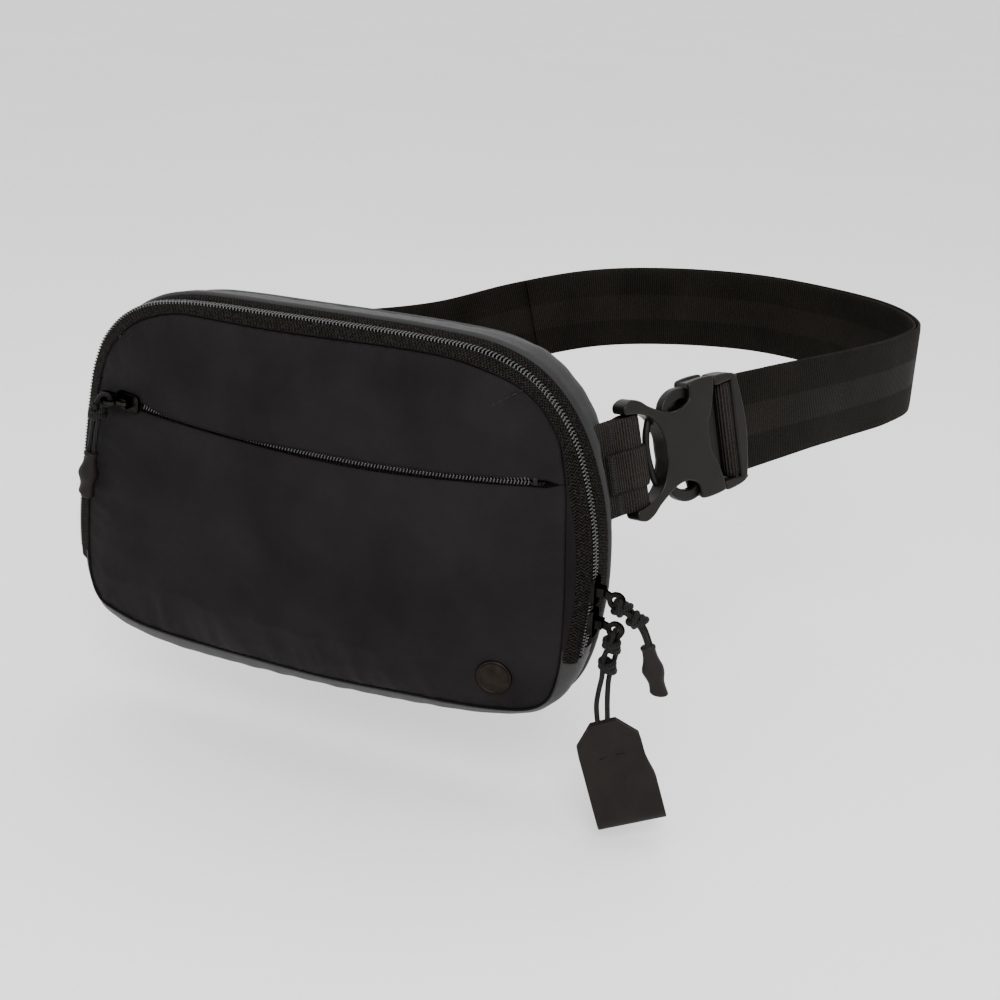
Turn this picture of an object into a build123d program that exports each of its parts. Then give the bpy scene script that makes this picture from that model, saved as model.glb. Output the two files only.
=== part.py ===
from build123d import *
import os
from math import atan2, cos, pi, radians, sin, sqrt, tan

# Belt bag: a small zipped waist pack on a webbing belt with a side-release buckle.
# Frame: -Y out of the bag's front, X to the right for someone who faces the front, +Z up.
# The origin is the centre of the flat back panel's outer face. Millimetres.

os.makedirs("parts", exist_ok=True)

# ---- bag body -------------------------------------------------------------------------
BODY_HALF_WIDTH = 112.0
BODY_TOP = 76.5
BODY_BOTTOM = -74.5
BODY_TOP_RADIUS = 54.0
BODY_LOW_RADIUS = 42.0
CHAIN_DEPTH = 29.0            # the main zip's centre line lies this far in front of the back
SEAM_DEPTH = 36.0             # the front panel's seam lies this far in front of the back
SEAM_HALF_WIDTH = 106.5
SEAM_TOP = 73.0
SEAM_BOTTOM = -68.5
SEAM_TOP_RADIUS = 48.5
SEAM_LOW_RADIUS = 36.5
CROWN = 10.0                  # how far the front panel's middle stands out of its seam
BACK_PAD = 3.0
LINING = 0.8
GUSSET_WALL = 1.6
TAPE_WALL = 1.2
FRONT_WALL = 1.6
TAPE_WIDTH = 6.0
CHAIN_GAP = 1.0               # room between the two rows of teeth
COIL_RADIUS = 0.75
ZIP_END = -36.0               # the main zip's tapes end at this height on both sides
COIL_START = -1.2             # the closed teeth begin just above the upper slider
CLEAR = 0.3                   # room kept between pieces that move apart

# ---- the front is a shallow upright cylinder; its axis lies behind the bag --------------
CROWN_RADIUS = (SEAM_HALF_WIDTH ** 2 + CROWN ** 2) / (2 * CROWN)
CROWN_AXIS_Y = CROWN_RADIUS - SEAM_DEPTH - CROWN


def on_front(x, z):
    """The point of the front panel's outer face at this x and z."""
    return Vector(x, CROWN_AXIS_Y - sqrt(CROWN_RADIUS ** 2 - x ** 2), z)


BADGE_X = 80.2
BADGE_Z = -46.4
BADGE_RADIUS = 7.0
RIVET_RADIUS = 0.9

# ---- pocket zip: a circular arc on the crowned front -----------------------------------
POCKET_LEFT = on_front(-74.5, 38.0)
POCKET_MIDDLE = on_front(8.0, 32.0)
POCKET_RIGHT = on_front(102.0, 33.5)
POCKET_SLOT = 3.4             # height of the slot in the front panel

# ---- sliders, pullers and cords --------------------------------------------------------
UPPER_SLIDER_Z = -8.0
LOWER_SLIDER_Z = -21.0
SLIDER_LENGTH = 11.0
PLATE_THICK = 1.0             # a slider's outer plate
PIVOT_HEIGHT = 5.0            # the puller's pin stands this far out of the tape
PIN_RADIUS = 0.7
PULLER_THICK = 1.4
EYE_RADIUS = 1.7
CORD_DIAMETER = 2.0
TURN = 2.25                   # half the width of a cord's turn round the rim of its eye

# ---- belt and buckle -------------------------------------------------------------------
BELT_WIDTH = 38.0
BELT_THICK = 1.6
TAB_WIDTH = 35.6
LOOP_WIDTH = 15.0
BUCKLE_ORIGIN = Vector(115.7, -4.5, 32.4)
BUCKLE_YAW = 60.5
BUCKLE_SLOPE = 3.5
BUCKLE_LEAN = 12.5
MOUTH_HALF = 22.0
FORK_HALF = 20.2
SHELL_THICK = 8.6
CHANNEL_HALF = 19.6
PRONG_REACH = 19.2
CHANNEL_THICK = 4.6
TAB_BAR_U = 4.4               # the female's bar, which the sewn tab's loop holds
TAB_BAR_RADIUS = 2.1
BELT_BAR_U = 55.0             # the male's bar, which the belt is wrapped round
BELT_BAR_W = 0.3
WRAP_RADIUS = 3.7             # outside of the webbing round either bar

nodes = {}


def keep(name, shape):
    """Stores one named piece, to be written at the end."""
    nodes[name] = shape


def outline(half_width, top, bottom, top_radius, low_radius, inset=0.0):
    """A flat rounded outline, wider rounding at the top, drawn in its own X and Y."""
    width = 2 * (half_width - inset)
    height = top - bottom - 2 * inset
    shape = Pos(0, (top + bottom) / 2) * Rectangle(width, height)
    shape = fillet(shape.vertices().group_by(Axis.Y)[-1], top_radius - inset)
    return fillet(shape.vertices().group_by(Axis.Y)[0], low_radius - inset)


def body_outline(inset=0.0):
    return outline(BODY_HALF_WIDTH, BODY_TOP, BODY_BOTTOM, BODY_TOP_RADIUS, BODY_LOW_RADIUS, inset)


def seam_outline(inset=0.0):
    return outline(SEAM_HALF_WIDTH, SEAM_TOP, SEAM_BOTTOM, SEAM_TOP_RADIUS, SEAM_LOW_RADIUS, inset)


def prism(sketch, depth_from, depth_to):
    """Runs an outline from one depth in front of the back to another."""
    return extrude(Plane.XZ.offset(depth_from) * sketch, depth_to - depth_from)


def above(shape, height):
    return shape & Pos(0, 0, height + 200) * Box(600, 600, 400)


def below(shape, height):
    return shape & Pos(0, 0, height - 200) * Box(600, 600, 400)


# ======================= bag: back shell =================================================
def make_back_shell():
    tape_back = CHAIN_DEPTH - CHAIN_GAP / 2
    tape_start = tape_back - TAPE_WIDTH
    keep("back_panel", prism(body_outline(), 0, BACK_PAD))
    keep("back_lining", prism(body_outline(GUSSET_WALL + CLEAR), BACK_PAD, BACK_PAD + LINING))
    ring = prism(body_outline(), BACK_PAD, tape_back) - prism(body_outline(GUSSET_WALL), BACK_PAD, tape_back)
    tape_zone = prism(body_outline(-5), tape_start, tape_back + 1)
    keep("back_gusset", ring - above(tape_zone, ZIP_END))
    tape = prism(body_outline(), tape_start, tape_back)
    tape -= prism(body_outline(TAPE_WALL), tape_start, tape_back)
    keep("main_tape_back", above(tape, ZIP_END))
    keep("main_coil_back", main_coil(CHAIN_DEPTH - CHAIN_GAP / 2 - COIL_RADIUS))
    stop_thick = 1.4
    stop = Box(stop_thick, 4.4, 3.6)
    stop = Pos(BODY_HALF_WIDTH + stop_thick / 2, -(tape_start + 3.6), ZIP_END - 2.4) * stop
    keep("zip_end_stops", Compound(children=[stop, mirror(stop, Plane.YZ)]))


def main_coil(depth):
    """A row of teeth round the sides and the top, as a plain tube on the tape."""
    stand_off = COIL_RADIUS + 0.1
    half = BODY_HALF_WIDTH + stand_off
    top = BODY_TOP + stand_off
    left_end = Vector(-half, -depth, ZIP_END + 1)
    path = FilletPolyline(
        left_end,
        Vector(-half, -depth, top),
        Vector(half, -depth, top),
        Vector(half, -depth, COIL_START),
        radius=BODY_TOP_RADIUS + COIL_RADIUS,
    )
    section = Plane(origin=left_end, z_dir=(0, 0, 1)) * Circle(COIL_RADIUS)
    return sweep(section, path)


# ======================= bag: front shell ================================================
def make_front_shell():
    band_start = CHAIN_DEPTH + CHAIN_GAP / 2
    band_wall = 1.56
    outer = loft([
        Plane.XZ.offset(band_start) * body_outline(),
        Plane.XZ.offset(SEAM_DEPTH) * seam_outline(),
    ], ruled=True)
    inner = loft([
        Plane.XZ.offset(band_start) * body_outline(band_wall),
        Plane.XZ.offset(SEAM_DEPTH) * seam_outline(band_wall),
    ], ruled=True)
    band = outer - inner
    keep("main_tape_front", above(band, ZIP_END))
    keep("front_gusset", below(band, ZIP_END))
    keep("main_coil_front", main_coil(CHAIN_DEPTH + CHAIN_GAP / 2 + COIL_RADIUS))
    lining_depth = SEAM_DEPTH - 3.0
    keep("pocket_lining", prism(seam_outline(3 * CLEAR), lining_depth, lining_depth + LINING))
    crown_front = SEAM_DEPTH + 3 * CROWN
    crown_axis = Pos(0, CROWN_AXIS_Y, 0)
    dome = prism(seam_outline(), SEAM_DEPTH, crown_front) & crown_axis * Cylinder(CROWN_RADIUS, 400)
    hollow = prism(seam_outline(FRONT_WALL), SEAM_DEPTH - 1, crown_front)
    hollow = hollow & crown_axis * Cylinder(CROWN_RADIUS - FRONT_WALL, 400)
    panel = dome - hollow
    slot_from = -1.1
    slot_to = POCKET_ARC - 0.2
    slot = pocket_ring(-9, 9, -POCKET_SLOT / 2, POCKET_SLOT / 2, slot_from, slot_to)
    keep("front_upper_panel", largest(above_zip(panel - slot, True)))
    keep("front_pocket_panel", largest(above_zip(panel - slot, False)))
    make_badge()


def largest(shape):
    """The biggest solid of a cut shape, without its slivers."""
    return shape.solids().sort_by(SortBy.VOLUME)[-1]


def above_zip(panel, upper):
    """The part of the front panel on one side of the pocket zip's plane."""
    half_height = 200
    lift = half_height + CLEAR / 4
    half_space = Pos(0, 0, lift if upper else -lift) * Box(1800, 1800, 2 * half_height)
    return panel & POCKET_PLANE * half_space


def make_badge():
    """A round metal badge on the pocket's lower right corner, and its rivet and washer behind."""
    spot = on_front(BADGE_X, BADGE_Z)
    normal = Vector(spot.X, spot.Y - CROWN_AXIS_Y, 0).normalized()
    place = Plane(origin=spot, x_dir=(0, 0, 1), z_dir=normal)
    cap = Pos(0, 0, 0.9) * Cylinder(BADGE_RADIUS, 1.4)
    cap = fillet(cap.edges().group_by(Axis.Z)[-1], 0.6)
    keep("badge_cap", place * cap)
    shank = Pos(0, 0, -1.0) * Cylinder(RIVET_RADIUS, 2.4)
    washer = Pos(0, 0, -2.2) * Cylinder(2.6, 0.6)
    keep("badge_rivet", place * (shank + washer))
    hole = place * Cylinder(RIVET_RADIUS + 0.1, 12)
    keep("front_pocket_panel", nodes["front_pocket_panel"] - hole)


# ======================= pocket zip ======================================================
def circle_through(p, q, r):
    """Centre, radius and unit axis of the circle through three points."""
    a = q - p
    b = r - p
    axis = a.cross(b)
    to_centre = (axis.cross(a) * b.dot(b) + b.cross(axis) * a.dot(a)) * (1 / (2 * axis.dot(axis)))
    return p + to_centre, to_centre.length, axis.normalized()


POCKET_CENTRE, POCKET_RADIUS, POCKET_AXIS = circle_through(POCKET_LEFT, POCKET_MIDDLE, POCKET_RIGHT)
POCKET_PLANE = Plane(origin=POCKET_CENTRE, x_dir=POCKET_LEFT - POCKET_CENTRE, z_dir=POCKET_AXIS)
POCKET_ARC = (POCKET_LEFT - POCKET_CENTRE).get_angle(POCKET_RIGHT - POCKET_CENTRE)
POCKET_LEAN = atan2(-POCKET_AXIS.Y, POCKET_AXIS.Z)
TAPE_INSET = 1.9              # from the front to the zip's tape, towards the arc's centre
POCKET_TAPE = 0.6


def pocket_ring(out_low, out_high, up_low, up_high, turn_from, turn_to):
    """A stretch of ring along the pocket zip: out from its tape by out_*, up the front by up_*.

    The arc's plane leans forwards, so the section is turned to stay square to the front."""
    corners = [(out_low, up_low), (out_high, up_low), (out_high, up_high), (out_low, up_high)]
    base = POCKET_RADIUS - TAPE_INSET
    across = cos(POCKET_LEAN)
    rise = sin(POCKET_LEAN)
    turned = [(base + out * across - up * rise, out * rise + up * across) for out, up in corners]
    section = Plane.XZ * make_face(Polyline(*turned, turned[0]))
    ring = revolve(section, Axis.Z, turn_to - turn_from)
    return POCKET_PLANE * (Rot(0, 0, turn_from) * ring)


def make_pocket_zip():
    edge = POCKET_SLOT / 2
    web = CHAIN_GAP / 2
    chain_end = POCKET_ARC - 1.2
    keep("pocket_tape_upper", pocket_ring(-POCKET_TAPE, 0, web, edge + 3, -1.0, chain_end + 0.8))
    keep("pocket_tape_lower", pocket_ring(-POCKET_TAPE, 0, -edge - 3, -web, -1.0, chain_end + 0.8))
    upper = pocket_ring(0.15, 1.2, web, web + 1.2, 0.75, chain_end)
    lower = pocket_ring(0.15, 1.2, -web - 1.2, -web, 0.75, chain_end)
    keep("pocket_coil", Compound(children=[upper, lower]))
    keep("pocket_end_stop", pocket_ring(0.15, 1.35, -1.5, 1.5, chain_end + 0.05, chain_end + 0.25))


# ======================= sliders and pullers ============================================
def slider_body(inner_low, outer_low, flange_low):
    """A zip slider in its own frame: +X is its way of travel, Z=0 the tape, +Z outwards.

    The outer plate starts at outer_low, its flanges reach down to flange_low, and the inner
    shoe, on a thin web between the rows of teeth, has its outer face at inner_low."""
    plate = Pos(0, 0, outer_low + PLATE_THICK / 2) * Box(SLIDER_LENGTH, 7.4, PLATE_THICK)
    plate = fillet(plate.edges().filter_by(Axis.Z), 2.2)
    shoe = Pos(0, 0, inner_low - 0.45) * Box(SLIDER_LENGTH - 1, 4.8, 0.9)
    web_height = outer_low - inner_low + 0.4
    web = Pos(SLIDER_LENGTH / 2 - 2.2, 0, inner_low - 0.3 + web_height / 2) * Box(3.4, 0.4, web_height)
    pin = Pos(0, 0, PIVOT_HEIGHT) * Rot(90, 0, 0) * Cylinder(PIN_RADIUS, 4.0)
    body = plate + shoe + web + pin
    ear_low = outer_low + PLATE_THICK / 2
    ear_high = PIVOT_HEIGHT + PIN_RADIUS + 0.4
    for side in (-1, 1):
        ear = Pos(0, side * 1.55, (ear_low + ear_high) / 2) * Box(3.4, 0.9, ear_high - ear_low)
        body += ear
        if flange_low < outer_low:
            flange_height = outer_low - flange_low + 0.1
            flange = Box(SLIDER_LENGTH - 3, 0.8, flange_height)
            body += Pos(0, side * 2.85, flange_low + flange_height / 2) * flange
    return body


def puller(length):
    """A flat link from the slider's pin at the origin to the cord's eye, along +X."""
    root = Circle(PIN_RADIUS + 0.9)
    ring = Pos(length, 0) * Circle(2 * EYE_RADIUS)
    shank = Pos(length / 2, 0) * Rectangle(length, 2.8)
    link = Rot(90, 0, 0) * extrude(root + ring + shank, PULLER_THICK / 2, both=True)
    link -= Rot(90, 0, 0) * Cylinder(PIN_RADIUS + 0.25, 5)
    return link - Pos(length, 0, 0) * Rot(90, 0, 0) * Cylinder(EYE_RADIUS, 5)


def side_place(height):
    """The frame of a slider on the straight right run of the main zip."""
    return Plane(origin=(BODY_HALF_WIDTH, -CHAIN_DEPTH, height), x_dir=(0, 0, 1), z_dir=(1, 0, 0))


def pocket_place():
    """The frame of the pocket slider: travel along the arc, outwards from the front."""
    radial = (POCKET_LEFT - POCKET_CENTRE).normalized()
    outward = radial * cos(POCKET_LEAN) + POCKET_AXIS * sin(POCKET_LEAN)
    along = POCKET_AXIS.cross(radial)
    return Plane(origin=POCKET_LEFT - radial * TAPE_INSET, x_dir=along, z_dir=outward)


def strands(points, sides, spread, eye, side):
    """Both strands of a cord loop: up one side, through the eye, and down the other.

    points run from the far end to just outside the eye along the pull's middle line; sides is
    the direction between the strands at each point, and spread each strand's distance."""
    left = [p - d * s for p, d, s in zip(points, sides, spread)]
    right = [p + d * s for p, d, s in zip(points, sides, spread)]
    return left + [eye - side * TURN, eye + side * TURN] + right[::-1]


def turning_sides(route, last):
    """Directions across a route that bends in the XZ plane; at its last point, last."""
    sides = []
    for point, following in zip(route, route[1:]):
        way = point - following
        sides.append(Vector(way.Z, 0, -way.X).normalized())
    return sides + [last]


SIDE = Vector(0, -1, 0)       # the main pulls' pins, and the holes of their eyes, point this way


def cord_tube(name, points, radii):
    """A cord as straight runs joined by arcs; its volume is compared with section times length."""
    path = FilletPolyline(*points, radius=radii)
    start = points[0]
    section = Plane(origin=start, z_dir=points[1] - points[0]) * Circle(CORD_DIAMETER / 2)
    tube = sweep(section, path)
    want = path.length * pi * CORD_DIAMETER ** 2 / 4
    print(name, "length", round(path.length, 1), "volume ratio", round(tube.volume / want, 4))
    return tube


def corner_radii(points):
    """Each corner's arc: as large as its two runs allow, and no less than the cord's own size."""
    radii = []
    for before, corner, after in zip(points, points[1:], points[2:]):
        run = min((corner - before).length, (after - corner).length)
        turn = radians((corner - before).get_angle(after - corner))
        radii.append(0.45 * run / max(0.02, tan(turn / 2)))
    return radii


def make_pull(name, pivot, eye, route, sides, spread, knot_at, knot_size, side):
    """One pull: its link, its cord loop, and its knot between two points of the route."""
    print(name, "pull: pivot", pivot, "eye", eye, "axis", side)
    direction = (eye - pivot).normalized()
    place = Plane(origin=pivot, x_dir=direction, z_dir=direction.cross(side * -1))
    keep(f"{name}_puller", place * puller((eye - pivot).length))
    points = strands(route, sides, spread, eye, side)
    radii = corner_radii(points)
    print(name, "cord radii", [round(r, 1) for r in radii])
    keep(f"{name}_cord", cord_tube(name, points, radii))
    low = route[knot_at]
    high = route[knot_at + 1]
    knot_plane = Plane(origin=(low + high) * 0.5, x_dir=side, z_dir=low - high)
    knot = Box(*knot_size)
    knot = fillet(knot.edges(), min(knot_size) * 0.3)
    keep(f"{name}_knot", knot_plane * knot)


def toggle(start, end):
    """A moulded end for a cord pull: narrow at its start, swelling, and flared at its end."""
    length = (end - start).length
    profile = Polyline(
        (0, 0), (2.3, 0), (2.6, length * 0.2), (3.6, length * 0.48), (3.5, length * 0.62),
        (2.7, length * 0.8), (3.3, length), (0, length), (0, 0))
    form = revolve(Plane.XZ * make_face(profile), Axis.Z, 360)
    return Plane(origin=start, x_dir=SIDE, z_dir=end - start) * form


def leather_tag():
    """A folded leather tag: chamfered shoulders above, an open fold below, hanging along -Z."""
    width = 24.8
    length = 46.5
    thick = 1.5
    fold = 4.6
    plan = Polyline(
        (-4.5, 0), (4.5, 0), (width / 2 - 1.5, -5), (width / 2, -10), (width / 2, -length),
        (-width / 2, -length), (-width / 2, -10), (-width / 2 + 1.5, -5), (-4.5, 0))
    blank = extrude(Plane.XZ * make_face(plan), width / 2, both=True)
    side = Polyline(
        (-thick, 0), (thick, 0), (thick, -20), (fold, -length + 7), (fold, -length + 3),
        (fold - 2.6, -length), (-fold + 2.6, -length), (-fold, -length + 3),
        (-fold, -length + 7), (-thick, -20), (-thick, 0))
    form = extrude(Plane.YZ * make_face(side), width, both=True)
    inside = Polyline(
        (0, -22), (fold - thick, -length + 7.4), (fold - thick, -length + 3.6),
        (fold - 3, -length + thick), (-fold + 3, -length + thick),
        (-fold + thick, -length + 3.6), (-fold + thick, -length + 7.4), (0, -22))
    hollow = extrude(Plane.YZ * make_face(inside), width, both=True)
    return (blank & form) - hollow


def make_upper_pull():
    """The upper slider's pull, pushed outwards and down, with a rubber toggle."""
    y = -CHAIN_DEPTH
    pivot = Vector(BODY_HALF_WIDTH + PIVOT_HEIGHT, y, UPPER_SLIDER_Z)
    eye = Vector(122.6, y, -10.8)
    route = [
        Vector(136.6, y, -28.0), Vector(134.8, y, -22.6), Vector(132.4, y, -18.4),
        Vector(129.4, y, -15.6), Vector(126.4, y, -13.3),
    ]
    spread = [1.15, 1.15, 1.2, 1.2, 2.2]
    make_pull("upper", pivot, eye, route, [SIDE] * 5, spread, 2, (6.4, 6.4, 5.2), SIDE)
    keep("rubber_toggle", toggle(Vector(136.0, y, -26.4), Vector(142.6, y, -45.4)))


def make_lower_pull():
    """The lower slider's pull, hanging, with a folded leather tag."""
    y = -CHAIN_DEPTH
    pivot = Vector(BODY_HALF_WIDTH + PIVOT_HEIGHT, y, LOWER_SLIDER_Z)
    eye = Vector(122.9, y, -22.6)
    route = [
        Vector(120.6, y, -65.0), Vector(119.4, y, -57.0), Vector(119.6, y, -49.0),
        Vector(120.3, y, -42.0), Vector(121.2, y, -34.0), Vector(122.6, y, -28.0),
    ]
    spread = [1.9, 1.7, 1.3, 1.2, 1.9, 2.2]
    make_pull("lower", pivot, eye, route, [SIDE] * 6, spread, 3, (7.0, 7.0, 6.4), SIDE)
    tilt = radians(16)
    turn = radians(25)
    across = Vector(cos(tilt) * cos(turn), cos(tilt) * sin(turn), sin(tilt))
    hang = Vector(-sin(tilt) * cos(turn), -sin(tilt) * sin(turn), cos(tilt))
    tag_place = Plane(origin=(120.2, y, -61.8), x_dir=across, z_dir=hang)
    keep("leather_tag", tag_place * leather_tag())


def make_pocket_pull():
    """The pocket slider's pull, lying against the front, with a rubber toggle."""
    frame = pocket_place()
    pivot = frame.origin + frame.z_dir * PIVOT_HEIGHT
    link = 5.8
    eye = pivot + (frame.x_dir * -0.94 + frame.z_dir * 0.34) * link
    route = [
        Vector(-95.6, -42.1, 14.4), Vector(-93.6, -42.9, 20.0), Vector(-91.9, -44.0, 25.6),
        Vector(-90.2, -45.2, 30.8), Vector(-88.3, -46.3, 35.7), Vector(-85.2, -46.8, 40.0),
    ]
    sides = turning_sides(route, frame.y_dir)
    spread = [1.1, 1.1, 1.1, 1.15, 1.6, 2.2]
    make_pull("pocket", pivot, eye, route, sides, spread, 3, (6.2, 6.2, 4.8), frame.y_dir)
    keep("pocket_toggle", toggle(Vector(-95.2, -42.2, 15.8), Vector(-101.7, -41.6, -5.4)))


def make_pulls():
    slide = slider_body(-3.5, 2.1, 0.9)
    keep("upper_slider", side_place(UPPER_SLIDER_Z) * slide)
    keep("lower_slider", side_place(LOWER_SLIDER_Z) * slide)
    keep("pocket_slider", pocket_place() * slider_body(-1.2, 2.3, 2.3))
    make_upper_pull()
    make_lower_pull()
    make_pocket_pull()


# ======================= buckle ==========================================================
def buckle_frame():
    """Along the belt, up, and outwards, for the leaning buckle."""
    yaw = radians(BUCKLE_YAW)
    slope = radians(BUCKLE_SLOPE)
    lean = radians(BUCKLE_LEAN)
    along = Vector(cos(yaw) * cos(slope), sin(yaw) * cos(slope), sin(slope))
    outward = Vector(sin(yaw), -cos(yaw), 0)
    upright = along.cross(outward) * -1
    up = upright * cos(lean) - outward * sin(lean)
    return Plane(origin=BUCKLE_ORIGIN, x_dir=along, z_dir=along.cross(up))


BUCKLE = buckle_frame()


def both_ways(points):
    """Mirrors the upper half of an outline to make the whole closed outline."""
    return make_face(Polyline(*points, *[(u, -v) for u, v in reversed(points)], points[0]))


def rounded(face, radius):
    return fillet(face.vertices(), radius)


def slab(sketch, low, high):
    return extrude(Plane.XY.offset(low) * sketch, high - low)


def make_buckle():
    """A side-release buckle: u runs along the belt, v up, w outwards through its thickness."""
    half_thick = SHELL_THICK / 2
    half_channel = CHANNEL_THICK / 2
    shell_edge = [
        (0.0, 16.6), (0.6, FORK_HALF), (7.5, FORK_HALF), (12.5, 17.6), (17.0, 14.0),
        (22.5, 12.2), (30.0, 12.0), (35.6, 13.4), (37.6, 17.0), (38.2, MOUTH_HALF), (50.0, MOUTH_HALF - 0.6),
    ]
    mouth_bite = Pos(84.0, 0) * Circle(39.4)
    shell = rounded(both_ways(shell_edge), 0.9) - mouth_bite
    belt_window = Pos(7.0, 0) * (Ellipse(14.6, 15.0) & Pos(15, 0) * Rectangle(30, 60))
    fork_gap = Pos(-7.4, 0) * Rectangle(29.0, 33.2)
    channel = Pos(36.0, 0) * Rectangle(40, 2 * CHANNEL_HALF)
    body = slab(shell, -half_thick, half_thick)
    body -= slab(belt_window + fork_gap, -9, 9)
    body -= slab(channel, -half_channel, half_channel)
    body += Pos(TAB_BAR_U, 0, 0) * Rot(90, 0, 0) * Cylinder(TAB_BAR_RADIUS, 2 * FORK_HALF - 3)
    keep("buckle_female", BUCKLE * largest(body))

    bar_length = 2 * MOUTH_HALF - 3.4
    tongue_low = -half_channel + CLEAR
    rail = Pos(56.2, MOUTH_HALF - 2.2) * Rectangle(11.8, 2.2)
    male = slab(Pos(45.3, 0) * Rectangle(11.0, 33.0), tongue_low, -0.3)
    male += slab(Pos(33.0, 0) * Rectangle(17.0, 4.0), tongue_low, -tongue_low)
    male += slab(Pos(50.75, 0) * Rectangle(0.9, 2 * MOUTH_HALF - 4), -3.4, 1.0)
    male += slab(rail, -3.6, 3.6)
    male += slab(mirror(rail, Plane.XZ), -3.6, 3.6)
    male += Pos(BELT_BAR_U, 0, BELT_BAR_W) * Rot(90, 0, 0) * Cylinder(1.8, bar_length)
    male += Pos(60.6, 0, 1.8) * Box(3.2, bar_length, 3.0)
    keep("buckle_male", BUCKLE * male)

    prong_edge = [
        (39.0, 8.4), (34.0, 12.6), (28.5, 15.6), (24.0, 15.8), (21.0, 14.2), (19.4, 12.0), (18.6, 13.4),
        (19.6, 16.4), (22.6, 18.6), (26.5, PRONG_REACH), (31.0, PRONG_REACH - 0.6), (36.0, 15.8),
        (39.0, 11.8),
    ]
    prong = slab(rounded(make_face(Polyline(*prong_edge, prong_edge[0])), 0.5), -1.9, 1.9)
    keep("prong_upper", BUCKLE * prong)
    keep("prong_lower", BUCKLE * mirror(prong, Plane.XZ))


# ======================= belt and tabs ===================================================
def webbing(stations, thick, width, offset=0.0, steps=24, first=0):
    """A webbing strip on edge along a smooth line of (x, y, z, lean) stations.

    lean tips the top edge to the right of the way along, in degrees; offset lays the strip
    that far to the right of the line, as a layer on another strip, from step first on."""
    line = Spline(*[Vector(x, y, z) for x, y, z, lean in stations])
    leans = [lean for x, y, z, lean in stations]
    sections = []
    for i in range(first, steps + 1):
        t = i / steps
        heading = (line % t).normalized()
        right = heading.cross(Vector(0, 0, 1)).normalized()
        upright = right.cross(heading)
        share = t * (len(leans) - 1)
        k = min(int(share), len(leans) - 2)
        lean = radians(leans[k] + (leans[k + 1] - leans[k]) * (share - k))
        top = upright * cos(lean) + right * sin(lean)
        across = right * cos(lean) - upright * sin(lean)
        place = Plane(origin=(line @ t) + across * offset, x_dir=top, z_dir=heading)
        sections.append(place * Rectangle(width, thick))
    return loft(sections, ruled=True)


# The belt from the left tab round to the split at the right-hand bend, and on to the buckle.
FAR_LINE = [(-119.0, -3.0, 30.0, 0.0), (-129.0, 28.0, 28.0, 0.0), (-126.0, 66.0, 24.0, 0.0),
            (-103.0, 103.0, 19.5, -2.0), (-68.0, 128.0, 16.5, -6.0), (-30.0, 150.0, 19.5, -12.0),
            (4.0, 174.0, 27.0, -12.0), (36.0, 194.0, 33.0, -8.0), (72.0, 207.0, 36.0, -4.0),
            (112.0, 213.0, 36.7, 0.0), (150.0, 202.5, 36.7, 0.0), (180.0, 183.5, 36.7, 0.0),
            (194.5, 160.0, 36.7, 0.0)]
NEAR_LINE = [(194.6, 151.0, 36.7, 0.0), (190.0, 132.0, 36.7, 0.0), (178.5, 106.0, 36.8, 0.0),
             (165.0, 82.0, 36.8, 3.0)]
FAR_STEPS = 36
TAIL_START = 20               # the belt's free end begins at this step, on the inside


def buckle_station(along):
    """A belt station under the buckle's end bar."""
    point = BUCKLE.from_local_coords((along, 0, -1.6))
    return (point.X, point.Y, point.Z, BUCKLE_LEAN)


def make_belt():
    keep("belt_far", webbing(FAR_LINE, BELT_THICK, BELT_WIDTH, steps=FAR_STEPS))
    layer = BELT_THICK + CLEAR
    keep("belt_tail_far", webbing(FAR_LINE, BELT_THICK, BELT_WIDTH - 1, layer, FAR_STEPS, TAIL_START))
    near_line = NEAR_LINE + [buckle_station(64.0)]
    width = BELT_WIDTH - 1
    near = webbing(near_line, BELT_THICK, width, steps=20)
    under_bar = Pos(61.2, 0, -1.6) * Box(6.4, width, BELT_THICK)
    roll = Cylinder(WRAP_RADIUS, width) - Cylinder(WRAP_RADIUS - BELT_THICK, width + 1)
    roll = Pos(BELT_BAR_U, 0, BELT_BAR_W) * Rot(90, 0, 0) * roll
    keep("belt_near", near + BUCKLE * (under_bar + roll))
    keep("belt_tail_near", webbing(near_line, BELT_THICK, width, layer, steps=20))


def make_tabs():
    """The sewn webbing tabs at the bag's sides, and the narrow loop that holds the buckle."""
    keep("right_tab", BUCKLE * (Pos(-6.4, 0, 0) * Box(11.8, TAB_WIDTH, BELT_THICK)))
    wall = 1.3
    ring = Cylinder(WRAP_RADIUS, LOOP_WIDTH) - Cylinder(WRAP_RADIUS - wall, LOOP_WIDTH + 1)
    ring = Pos(TAB_BAR_U, 0, 0) * Rot(90, 0, 0) * ring
    loop = ring & Pos(TAB_BAR_U + 4, 0, 0) * Box(8.0, 40, 12)
    for side in (-1, 1):
        loop += Pos(1.2, 0, side * (WRAP_RADIUS - wall / 2)) * Box(6.6, LOOP_WIDTH, wall)
    keep("right_loop", BUCKLE * loop)
    yaw = radians(180 - BUCKLE_YAW)
    along = Vector(cos(yaw), sin(yaw), 0)
    left = Plane(origin=(-115.7, -4.5, 30.0), x_dir=along, z_dir=(-sin(yaw), cos(yaw), 0))
    keep("left_tab", left * (Pos(-1.0, 0, -2.0) * Box(22.6, TAB_WIDTH, BELT_THICK)))


make_back_shell()
make_front_shell()
make_pocket_zip()
make_pulls()
make_buckle()
make_belt()
make_tabs()

print("pocket zip axis", POCKET_AXIS, "centre", POCKET_CENTRE, "radius", POCKET_RADIUS, "arc", POCKET_ARC)
print("buckle along", BUCKLE.x_dir, "up", BUCKLE.y_dir, "out", BUCKLE.z_dir)
for name, shape in nodes.items():
    export_step(shape, f"parts/{name}.step")
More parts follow.
